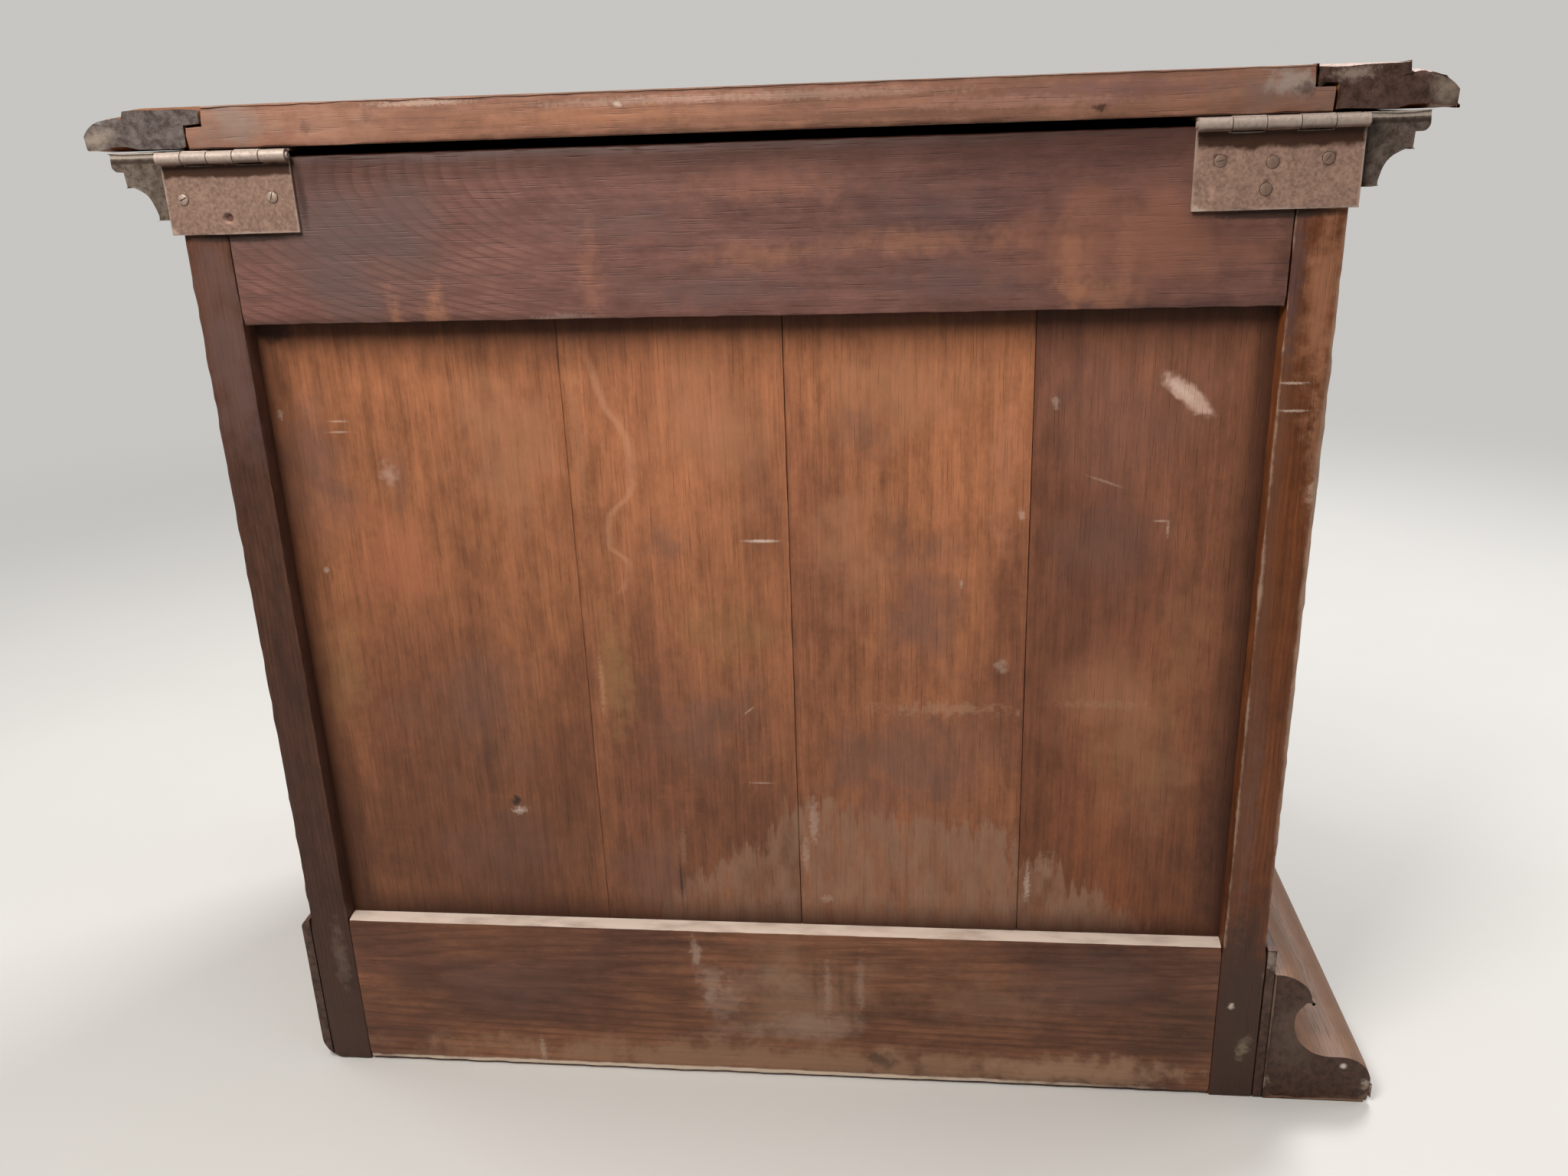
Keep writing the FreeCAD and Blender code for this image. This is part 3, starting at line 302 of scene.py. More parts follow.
def slice_up(piece, axes, pitch):
    """Cuts a piece's faces at even planes across each axis."""
    points = points_of(piece)
    low, high = points.min(axis=0), points.max(axis=0)
    edit(piece)
    for axis in (AXES.index(letter) for letter in axes):
        count = int((high[axis] - low[axis]) / pitch)
        normal = [float(item == axis) for item in range(3)]
        for number in range(1, count):
            place = low.copy()
            place[axis] += (high[axis] - low[axis]) * number / count
            bpy.ops.mesh.select_all(action="SELECT")
            bpy.ops.mesh.bisect(plane_co=place, plane_no=normal)
    done()


def points_of(piece):
    """All points of a piece as rows."""
    return np.array([vert.co for vert in piece.data.vertices])


def near_segments(points, segments):
    """Distance of each point from the nearest of some segments."""
    best = np.full(len(points), np.inf)
    for start, end in segments:
        run = end - start
        share = np.clip((points - start) @ run / (run @ run), 0.0, 1.0)
        best = np.minimum(best, np.linalg.norm(points - start - share[:, None] * run, axis=1))
    return best


def mark(piece, name, distances, reach):
    """Keeps how near each point is, from 1 at no distance to 0 at the reach, for wear and the material."""
    weights = np.clip(1.0 - distances / reach, 0.0, 1.0)
    attribute = piece.data.attributes.new(name, "FLOAT", "POINT")
    attribute.data.foreach_set("value", weights.astype(np.float32))
    bunch = piece.vertex_groups.new(name=name)
    for index in np.nonzero(weights)[0]:
        bunch.add([int(index)], float(weights[index]), "REPLACE")


def mark_planes(piece, name, planes, reach):
    """Marks a piece near some planes, each an axis, a place on it and a share of the distance."""
    points = points_of(piece)
    ways = [np.abs(points[:, AXES.index(axis)] - value) * share for axis, value, share in planes]
    mark(piece, name, np.min(ways, axis=0), reach)


def wear_away(piece, depth, size, where=""):
    """Takes an uneven skin off a piece, all over or along a marked part."""
    texture = bpy.data.textures.new(f"{piece.name}_wear", "CLOUDS")
    texture.noise_scale = size
    texture.noise_depth = 2
    before = points_of(piece)
    pick(piece)
    modifier = piece.modifiers.new("wear", "DISPLACE")
    modifier.texture = texture
    modifier.texture_coords = "LOCAL"
    modifier.mid_level = 1.0
    modifier.strength = depth
    modifier.vertex_group = where
    bpy.ops.object.modifier_apply(modifier=modifier.name)
    kept = np.clip(points_of(piece), before.min(axis=0), before.max(axis=0))
    piece.data.vertices.foreach_set("co", kept.astype(np.float32).ravel())


def age(piece, segments, chips):
    """Marks a piece's arrises, and wears it all over and along them."""
    sizes, _ = settings()
    mark(piece, "arris", near_segments(points_of(piece), segments), sizes.wear_reach)
    wear_away(piece, sizes.wobble, sizes.wobble_size)
    wear_away(piece, sizes.chip * chips, sizes.chip_size, "arris")


def wear_copy(piece, arris, shortest, axes, pitch, chips=1.0):
    """Eases the arrises of a copied piece, cuts its faces small and ages it."""
    segments = ease(piece, arris, shortest)
    slice_up(piece, axes, pitch)
    age(piece, segments, chips)


def crumble(piece, axis, value, reach, depth, length=CRUMB_SHARE):
    """Crumbles a piece near its bare end, at a place on an axis, by shares of the chest's wear."""
    sizes, _ = settings()
    mark_planes(piece, "end", ((axis, value, 1.0),), reach)
    wear_away(piece, depth * sizes.end_wear, length * sizes.chip_size, "end")


def round_foot(piece, radius):
    """Cuts the lower outer corner of a piece on the right round at its back end, as a dragged foot wears."""
    _, back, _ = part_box("back_post_right")[1]
    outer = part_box("plinth_ground_right")[1].x
    edit(piece)
    for angle in FOOT_CUTS:
        turned = math.radians(angle)
        out = Vector((math.cos(turned), 0.0, -math.sin(turned)))
        bpy.ops.mesh.select_all(action="SELECT")
        bpy.ops.mesh.bisect(plane_co=Vector((outer - radius, back, radius)) + out * radius,
                            plane_no=out + Vector((0.0, FOOT_LEAN, 0.0)), clear_outer=True, use_fill=True)
    done()


def finish_piece(piece, body, node, material):
    """Smooths a piece, gives it its material, and puts it in a node's place."""
    pick(piece)
    bpy.ops.object.shade_smooth_by_angle(angle=SMOOTH_ANGLE)
    piece.data.materials.clear()
    piece.data.materials.append(material)
    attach(piece, body)
    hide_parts(node)


def paint_node(node, material):
    """Gives a node that keeps its own shape a finish."""
    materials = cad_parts[node].data.materials
    materials.clear()
    materials.append(material)


def bar(node, axis="", first="", second=""):
    """A node's corners, less the tenons that it has along an axis into two others."""
    low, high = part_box(node)
    if axis:
        index = AXES.index(axis)
        low[index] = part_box(first)[1][index]
        high[index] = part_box(second)[0][index]
    return low, high


# Materials


class Shader:
    """Adds nodes to one tree and links them."""

    def __init__(self, tree):
        self.tree = tree

    def node(self, kind, **options):
        """A node with its options set."""
        made = self.tree.nodes.new(kind)
        for name, value in options.items():
            setattr(made, name, value)
        return made

    def feed(self, socket, source):
        """Links a source to a socket, or sets the socket to a plain value."""
        if isinstance(source, bpy.types.NodeSocket):
            self.tree.links.new(source, socket)
        elif socket.type == "RGBA" and len(source) == 3:
            socket.default_value = (*source, 1.0)
        else:
            socket.default_value = source

    def math(self, operation, *values, clamp=False):
        """A sum on numbers."""
        made = self.node("ShaderNodeMath", operation=operation, use_clamp=clamp)
        for socket, value in zip(made.inputs, values):
            self.feed(socket, value)
        return made.outputs[0]

    def add(self, *values):
        """The sum of several numbers."""
        total = values[0]
        for value in values[1:]:
            total = self.math("ADD", total, value)
        return total

    def less(self, first, second):
        """One number less another."""
        return self.math("SUBTRACT", first, second)

    def times(self, *values):
        """The product of several numbers."""
        total = values[0]
        for value in values[1:]:
            total = self.math("MULTIPLY", total, value)
        return total

    def vector(self, operation, *values):
        """A sum on vectors."""
        made = self.node("ShaderNodeVectorMath", operation=operation)
        for socket, value in zip(made.inputs, values):
            self.feed(socket, value)
        return made.outputs["Value" if operation == "LENGTH" else "Vector"]

    def scaled(self, vector, scale):
        """A vector made longer or shorter."""
        made = self.node("ShaderNodeVectorMath", operation="SCALE")
        self.feed(made.inputs[0], vector)
        self.feed(made.inputs["Scale"], scale)
        return made.outputs["Vector"]

    def split(self, vector):
        """The three numbers of a vector."""
        made = self.node("ShaderNodeSeparateXYZ")
        self.feed(made.inputs[0], vector)
        return made.outputs

    def join(self, *values):
        """A vector of three numbers."""
        made = self.node("ShaderNodeCombineXYZ")
        for socket, value in zip(made.inputs, values):
            self.feed(socket, value)
        return made.outputs[0]

    def noise(self, vector, stretch, detail=2.0, roughness=0.5, distortion=0.0):
        """Soft noise, so many times a metre along each axis."""
        made = self.node("ShaderNodeTexNoise")
        self.feed(made.inputs["Vector"], self.vector("MULTIPLY", vector, stretch))
        made.inputs["Scale"].default_value = 1.0
        made.inputs["Detail"].default_value = detail
        made.inputs["Roughness"].default_value = roughness
        made.inputs["Distortion"].default_value = distortion
        return made.outputs["Fac"]

    def span(self, value, low, high, start=0.0, end=1.0, kind="SMOOTHSTEP"):
        """A step from start to end as a value goes from low to high."""
        made = self.node("ShaderNodeMapRange", interpolation_type=kind)
        for socket, item in zip(made.inputs, (value, low, high, start, end)):
            self.feed(socket, item)
        return made.outputs[0]

    def line(self, value, points):
        """A height read off a smooth line through a few points."""
        starts, heights = zip(*points)
        low, high = min(heights), max(heights)
        made = self.node("ShaderNodeFloatCurve")
        curve = made.mapping.curves[0]
        places = [((start - starts[0]) / (starts[-1] - starts[0]), (height - low) / (high - low))
                  for start, height in points]
        curve.points[0].location = places[0]
        curve.points[1].location = places[-1]
        for place in places[1:-1]:
            curve.points.new(*place)
        made.mapping.update()
        self.feed(made.inputs["Value"], self.span(value, starts[0], starts[-1], kind="LINEAR"))
        return self.span(made.outputs[0], 0.0, 1.0, low, high, kind="LINEAR")

    def mix(self, share, first, second, blend="MIX"):
        """A mix of two colours."""
        made = self.node("ShaderNodeMix", data_type="RGBA", blend_type=blend)
        self.feed(made.inputs[0], share)
        self.feed(made.inputs[6], first)
        self.feed(made.inputs[7], second)
        return made.outputs[2]

    def use(self, group, **values):
        """A group's outputs, with its inputs set by name."""
        made = self.node("ShaderNodeGroup", node_tree=group)
        for name, value in values.items():
            self.feed(made.inputs[name.replace("_", " ")], value)
        return made.outputs


def start_group(name, inputs, outputs):
    """A new node group: its shader, and its input and output sockets."""
    group = bpy.data.node_groups.new(name, "ShaderNodeTree")
    for label, kind in inputs.items():
        group.interface.new_socket(name=label, in_out="INPUT", socket_type=f"NodeSocket{kind}")
    for label, kind in outputs.items():
        group.interface.new_socket(name=label, in_out="OUTPUT", socket_type=f"NodeSocket{kind}")
    shader = Shader(group)
    return group, shader, shader.node("NodeGroupInput").outputs, shader.node("NodeGroupOutput").inputs


def once(make):
    """Lets a group be built the first time that it is asked for."""
    name = make.__name__

    def get():
        return bpy.data.node_groups.get(name) or make(name)
    return get


FIGURE = {"Rings": "Float", "Pores": "Float", "Rays": "Float", "Streaks": "Float", "Tone": "Float",
          "Mottle": "Float", "Blotch": "Float"}


@once
def oak_figure(name):
    """Grain of oak: rings about a heart, pores, rays, streaks and blotches."""
    group, s, given, out = start_group(
        name, {"Vector": "Vector", "Seed": "Float", "Heart Across": "Float", "Heart Depth": "Float",
               "Slope": "Float", "Ring Pitch": "Float"}, FIGURE)
    moved = s.vector("ADD", given["Vector"], s.scaled((0.73, 0.37, 0.91), given["Seed"]))
    along, across, depth = s.split(given["Vector"])
    bend = s.less(s.noise(moved, (2.5, 9.0, 9.0), detail=3.0), 0.5)
    side = s.add(s.less(across, given["Heart Across"]), s.times(bend, 0.022))
    deep = s.add(depth, given["Heart Depth"], s.times(along, given["Slope"]), s.times(bend, 0.016))
    radius = s.vector("LENGTH", s.join(side, deep, 0.0))
    ring = s.math("FRACT", s.math("DIVIDE", radius, given["Ring Pitch"]))
    s.feed(out["Rings"], s.math("MAXIMUM", s.span(ring, 0.0, 0.5, 1.0, 0.0), s.span(ring, 0.86, 1.0)))
    s.feed(out["Pores"], s.span(s.noise(moved, (30.0, 800.0, 800.0), detail=1.0), 0.58, 0.76))
    rays = s.noise(moved, (85.0, 30.0, 70.0), detail=2.0, distortion=0.8)
    patches = s.span(s.noise(moved, (5.0, 11.0, 11.0)), 0.42, 0.62)
    s.feed(out["Rays"], s.times(s.span(rays, 0.50, 0.72), patches))
    s.feed(out["Streaks"], s.noise(moved, (5.0, 150.0, 150.0), detail=4.0, roughness=0.62))
    s.feed(out["Tone"], s.noise(moved, (2.2, 9.0, 9.0), detail=4.0, roughness=0.6))
    s.feed(out["Mottle"], s.noise(moved, (32.0, 70.0, 70.0), detail=7.0, roughness=0.74))
    s.feed(out["Blotch"], s.noise(moved, (4.0, 8.0, 8.0), detail=3.0, roughness=0.55, distortion=0.4))
    return group


@once
def aged_oak(name):
    """Colour, roughness and height of old oak from its grain."""
    group, s, given, out = start_group(
        name, {**FIGURE, "Light": "Color", "Dark": "Color", "Stain": "Color", "Stain Strength": "Float",
               "Ring Strength": "Float", "Ray Strength": "Float"},
        {"Color": "Color", "Roughness": "Float", "Height": "Float"})
    shade = s.add(s.times(s.span(given["Tone"], 0.28, 0.72), 0.34),
                  s.times(s.span(given["Streaks"], 0.30, 0.70), 0.26),
                  s.times(s.span(given["Mottle"], 0.32, 0.68), 0.40))
    colour = s.mix(shade, given["Dark"], given["Light"])
    stained = s.times(s.span(given["Blotch"], 0.42, 0.66), given["Stain Strength"])
    colour = s.mix(stained, colour, given["Stain"], "MULTIPLY")
    lines = s.times(given["Rings"], given["Ring Strength"], s.span(given["Mottle"], 0.35, 0.6, 0.25, 1.0))
    colour = s.mix(lines, colour, s.mix(1.0, colour, (0.50, 0.46, 0.46), "MULTIPLY"))
    rays = s.times(given["Rays"], given["Ray Strength"])
    colour = s.mix(rays, colour, s.mix(1.0, given["Light"], (1.15, 1.20, 1.20), "MULTIPLY"))
    pits = s.mix(1.0, given["Dark"], (0.5, 0.45, 0.42), "MULTIPLY")
    colour = s.mix(s.times(given["Pores"], 0.26), colour, pits)
    s.feed(out["Color"], colour)
    s.feed(out["Roughness"], s.add(s.times(given["Pores"], 0.16), s.times(given["Mottle"], 0.12)))
    hollows = s.add(s.times(given["Pores"], 0.45), s.times(lines, 0.35))
    s.feed(out["Height"], s.less(s.times(given["Streaks"], 0.5), hollows))
    return group


@once
def rubbed_arris(name):
    """Bare wood showing where an arris has been rubbed."""
    group, s, given, out = start_group(
        name, {"Color": "Color", "Vector": "Vector", "Arris": "Float", "Amount": "Float", "Bare": "Color"},
        {"Color": "Color", "Mask": "Float"})
    broad = s.less(s.noise(given["Vector"], (16.0, 16.0, 16.0), detail=2.0), 0.5)
    fine = s.less(s.noise(given["Vector"], (170.0, 170.0, 170.0), detail=3.0), 0.5)
    level = s.add(given["Arris"], s.times(broad, 1.2), s.times(fine, 0.5), s.times(given["Amount"], 0.5))
    mask = s.times(s.span(level, 0.95, 1.35), s.span(given["Arris"], 0.10, 0.45), given["Amount"])
    s.feed(out["Color"], s.mix(mask, given["Color"], given["Bare"]))
    s.feed(out["Mask"], mask)
    return group


@once
def settled_dust(name):
    """Pale dust on faces that look up."""
    group, s, given, out = start_group(
        name, {"Color": "Color", "Vector": "Vector", "Normal": "Vector", "Amount": "Float", "Dust": "Color"},
        {"Color": "Color", "Mask": "Float"})
    up = s.split(given["Normal"])["Z"]
    patchy = s.span(s.noise(given["Vector"], (22.0, 60.0, 60.0), detail=4.0), 0.22, 0.60, 0.55, 1.0)
    mask = s.times(s.span(up, 0.40, 0.85), patchy, given["Amount"])
    s.feed(out["Color"], s.mix(mask, given["Color"], given["Dust"]))
    s.feed(out["Mask"], mask)
    return group


@once
def smudge(name):
    """Mask of one ragged spot on an upright face."""
    group, s, given, out = start_group(
        name, {"Vector": "Vector", "Centre": "Vector", "Reach": "Vector", "Turn": "Float", "Ragged": "Float",
               "Grain": "Float", "Soft": "Float"}, {"Mask": "Float"})
    turned = s.node("ShaderNodeVectorRotate", rotation_type="Y_AXIS")
    s.feed(turned.inputs["Vector"], s.vector("SUBTRACT", given["Vector"], given["Centre"]))
    s.feed(turned.inputs["Angle"], given["Turn"])
    spot = s.vector("DIVIDE", turned.outputs[0], given["Reach"])
    rough = s.noise(s.scaled(given["Vector"], given["Grain"]), (1.0, 1.0, 1.0), detail=4.0, roughness=0.6)
    rough = s.times(s.less(rough, 0.5), given["Ragged"], 2.5)
    distance = s.add(s.vector("LENGTH", spot), rough)
    s.feed(out["Mask"], s.span(distance, s.less(1.0, given["Soft"]), 1.0, 1.0, 0.0))
    return group


class Spot:
    """One mark on a face of the back: where it is, its half size, colour and strength."""

    def __init__(self, x, z, wide, high, colour, strength, turn=0.0, ragged=0.8, grain=0.0, soft=0.8):
        self.centre = (x, 0.0, z)
        self.reach = (wide, THROUGH, high)
        self.colour = colour
        self.strength = strength
        self.turn = turn
        self.ragged = ragged
        self.grain = grain or EDGE_GRAINS / min(wide, high)
        self.soft = soft

    def paint(self, s, place, facing, colour):
        """The colour with this mark on it, where the face looks back."""
        mask = s.use(smudge(), Vector=place, Centre=self.centre, Reach=self.reach, Turn=self.turn,
                     Ragged=self.ragged, Grain=self.grain, Soft=self.soft)["Mask"]
        return s.mix(s.times(mask, self.strength, facing), colour, self.colour)


def haze(*place_and_tone, **options):
    """A mark that fades all the way from its middle to its edge."""
    return Spot(*place_and_tone, soft=1.0, **options)


def start_material(name):
    """A new material: its shader, its Principled node and its object coordinates."""
    material = bpy.data.materials.new(name)
    material.use_nodes = True
    s = Shader(material.node_tree)
    principled = next(item for item in material.node_tree.nodes if item.type == "BSDF_PRINCIPLED")
    return material, s, principled, s.node("ShaderNodeTexCoord").outputs


def attribute(s, name):
    """A mark that the modelling left on a piece."""
    return s.node("ShaderNodeAttribute", attribute_name=name).outputs["Fac"]


def looks_back(s, coordinates):
    """Mask of the faces that look to the back."""
    return s.span(s.split(coordinates["Normal"])["Y"], 0.2, 0.6)


def toned(colour, share):
    """A colour times a share, darker below 1 and lighter above."""
    return tuple(item * share for item in colour)


def surface(s, principled, colour, roughness, height, strength, distance):
    """Gives a material its colour, its roughness and a bumpy skin."""
    s.feed(principled.inputs["Base Color"], colour)
    s.feed(principled.inputs["Roughness"], roughness)
    bump = s.node("ShaderNodeBump")
    bump.inputs["Strength"].default_value = strength
    bump.inputs["Distance"].default_value = distance
    s.feed(bump.inputs["Height"], height)
    s.feed(principled.inputs["Normal"], bump.outputs[0])


def show_ends(s, coordinates, along, tone, colour):
    """The colour with bare, speckled end grain on the faces across the grain, or only the back ones."""
    ends = s.split(coordinates["Normal"])[along]
    ends = ends if along == "Y" else s.math("ABSOLUTE", ends)
    speckle = s.noise(coordinates["Object"], (150.0, 150.0, 150.0), detail=5.0, roughness=0.7)
    bare = s.mix(s.span(speckle, 0.30, 0.68), toned(tone, 0.30), toned(tone, 1.25))
    return s.mix(s.span(ends, 0.6, 0.9, 0.0, 0.92), colour, bare)


def oak(node, grain, light, seed, heart=(0.5, 0.0), slope=0.0, ring_pitch=0.004, depth=0.40, rings=0.4,
        rays=0.0, stain=0.0, worn=0.25, dust=0.0, rough=0.5, nook=0.0, spots=(), marks=None, end_tone=None,
        sheen=0.3, foot=None, ring_fade=None, back_tone=None):
    """Old oak for one piece, centred on its node, with the marks that it carries."""
    _, colours = settings()
    material, s, principled, coordinates = start_material(f"{node}_oak")
    place = coordinates["Object"]
    low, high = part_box(node)
    parts = s.split(s.vector("SUBTRACT", place, tuple((low + high) / 2)))
    figure = s.use(oak_figure(), Vector=s.join(*(parts[letter] for letter in grain)), Seed=seed,
                   Heart_Across=heart[0], Heart_Depth=heart[1], Slope=slope, Ring_Pitch=ring_pitch)
    if ring_fade:
        rings = s.times(s.span(s.split(place)["X"], *ring_fade), rings)
    facing = looks_back(s, coordinates)
    light, dark = tuple(light), toned(light, depth)
    if back_tone:
        light, dark = s.mix(facing, light, back_tone), s.mix(facing, dark, toned(back_tone, depth))
    wood = s.use(aged_oak(), Light=light, Dark=dark, Stain=STAIN_TINT, Stain_Strength=stain,
                 Ring_Strength=rings, Ray_Strength=rays, **{label: figure[label] for label in FIGURE})
    colour = wood["Color"]
    if end_tone:
        colour = show_ends(s, coordinates, grain[0], end_tone, colour)
    # Painted shade that darkens the piece towards the floor
    if foot:
        colour = s.mix(s.span(s.split(place)["Z"], *FOOT_SHADE_FADE, kind="LINEAR"), colour, foot, "MULTIPLY")
    if marks:
        colour = s.mix(facing, colour, marks(s, place, colour))
    for spot in spots:
        colour = spot.paint(s, place, facing, colour)
    # Painted shade in the inner corners and recesses, by the nook mark
    if nook:
        corner_shading = s.times(s.math("POWER", attribute(s, "nook"), 1.2), nook)
        colour = s.mix(corner_shading, colour, colours.grime)
    rubbed = s.use(rubbed_arris(), Color=colour, Vector=place, Arris=attribute(s, "arris"), Amount=worn,
                   Bare=colours.worn)
    colour = rubbed["Color"]
    roughness = s.add(wood["Roughness"], rough, s.times(rubbed["Mask"], 0.15))
    if dust:
        dusty = s.use(settled_dust(), Color=colour, Vector=place, Normal=coordinates["Normal"], Amount=dust,
                      Dust=colours.dust)
        colour = dusty["Color"]
        roughness = s.add(roughness, s.times(dusty["Mask"], 0.25))
    roughness = s.math("MINIMUM", roughness, 0.95)
    principled.inputs["Specular IOR Level"].default_value = sheen
    surface(s, principled, colour, roughness, wood["Height"], strength=0.6, distance=0.0009)
    return material


def old_iron(name, tone, rusted, spots=(), barrel=0.0):
    """Tan-coated iron, rusted through in patches, and pale along the barrel's top: rubbed iron with a
    painted highlight.
    """
    _, colours = settings()
    material, s, principled, coordinates = start_material(name)
    place = coordinates["Object"]
    cloud = s.noise(place, (45.0, 45.0, 45.0), detail=5.0, roughness=0.62)
    grit = s.noise(place, (420.0, 420.0, 420.0), detail=3.0, roughness=0.6)
    patches = s.span(s.add(cloud, s.times(s.less(grit, 0.5), 0.5)), 0.66 - rusted, 0.86 - rusted)
    coat = s.mix(s.span(grit, 0.3, 0.7), toned(tone, 0.62), toned(tone, 1.06))
    coat = s.mix(s.span(cloud, 0.47, 0.25), coat, toned(tone, 1.5))
    rust = s.mix(grit, colours.rust, toned(colours.rust, 0.4))
    colour = s.mix(s.times(patches, 0.8), coat, rust)
    facing = looks_back(s, coordinates)
    for spot in spots:
        colour = spot.paint(s, place, facing, colour)
    # Paler top of the barrel, behind the back: rubbed iron with a painted highlight from light above
    if barrel:
        _, depth, height = s.split(place)
        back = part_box("back_top_rail")[1].y
        rubbed = s.mix(s.span(grit, 0.35, 0.7), colours.barrel, toned(colours.barrel, 0.75))
        above = s.span(height, barrel - LIT_BARREL_BLUR, barrel + LIT_BARREL_BLUR)
        colour = s.mix(s.times(above, s.span(depth, back, back + 0.001), 0.9), colour, rubbed)
    edged = s.use(rubbed_arris(), Color=colour, Vector=place, Arris=attribute(s, "arris"), Amount=0.6,
                  Bare=BARE_IRON)
    s.feed(principled.inputs["Metallic"], s.times(s.less(1.0, patches), 0.2))
    roughness = s.span(patches, 0.0, 1.0, 0.5, 0.85)
    height = s.less(s.times(grit, 0.6), patches)
    surface(s, principled, edged["Color"], roughness, height, strength=0.5, distance=0.0006)
    return material


# Marks that time has left on the back, with painted shade, shadows and highlights among them

# Across and up, the top of the pale bloom at the foot of the boards
BLOOM_TOP = (
    (-0.36, 0.15), (-0.315, 0.191), (-0.291, 0.211), (-0.268, 0.217), (-0.245, 0.239), (-0.223, 0.228),
    (-0.205, 0.268), (-0.16, 0.273), (-0.109, 0.276), (-0.064, 0.288), (-0.034, 0.292), (0.009, 0.241),
    (0.06, 0.222), (0.105, 0.15),
)
# Up and across, the middle of a wavy streak
WAVY_STREAK = (
    (0.485, 0.126), (0.496, 0.111), (0.511, 0.1075), (0.529, 0.122), (0.551, 0.121), (0.583, 0.1),
    (0.615, 0.1015), (0.649, 0.119), (0.678, 0.126), (0.694, 0.132),
)


def board_marks(s, place, colour):
    """Pale bloom that damp left along the foot of the boards, and one wavy streak in the grain."""
    across, _, height = s.split(place)
    ragged = s.less(s.noise(place, (130.0, 1.0, 22.0), detail=5.0, roughness=0.65), 0.5)
    gap = s.add(s.less(s.line(across, BLOOM_TOP), height), s.times(ragged, 0.11))
    patchy = s.span(s.noise(place, (70.0, 1.0, 24.0), detail=5.0, roughness=0.65), 0.30, 0.66, 0.26, 1.0)
    colour = s.mix(s.times(s.span(gap, -0.003, 0.009), patchy, 0.64), colour, CHALK)
    swing = s.math("ABSOLUTE", s.less(across, s.line(height, WAVY_STREAK)))
    broken = s.span(s.noise(place, (60.0, 1.0, 40.0), detail=3.0), 0.32, 0.55, 0.3, 1.0)
    ends = s.times(s.span(height, 0.480, 0.500), s.span(height, 0.700, 0.660), broken)
    return s.mix(s.times(s.span(swing, 0.0052, 0.0008), ends, 0.42), colour, STREAK)


# Dark lines under the two case leaves of the hinges
LEFT_LEAF_SHADOW = Spot(-0.386, 0.7845, 0.068, 0.0045, SOOT_AND_SHADE, 0.85, ragged=0.2, soft=0.6)
RIGHT_LEAF_SHADOW = Spot(0.390, 0.7865, 0.062, 0.0045, SOOT_AND_SHADE, 0.85, ragged=0.2, soft=0.6)

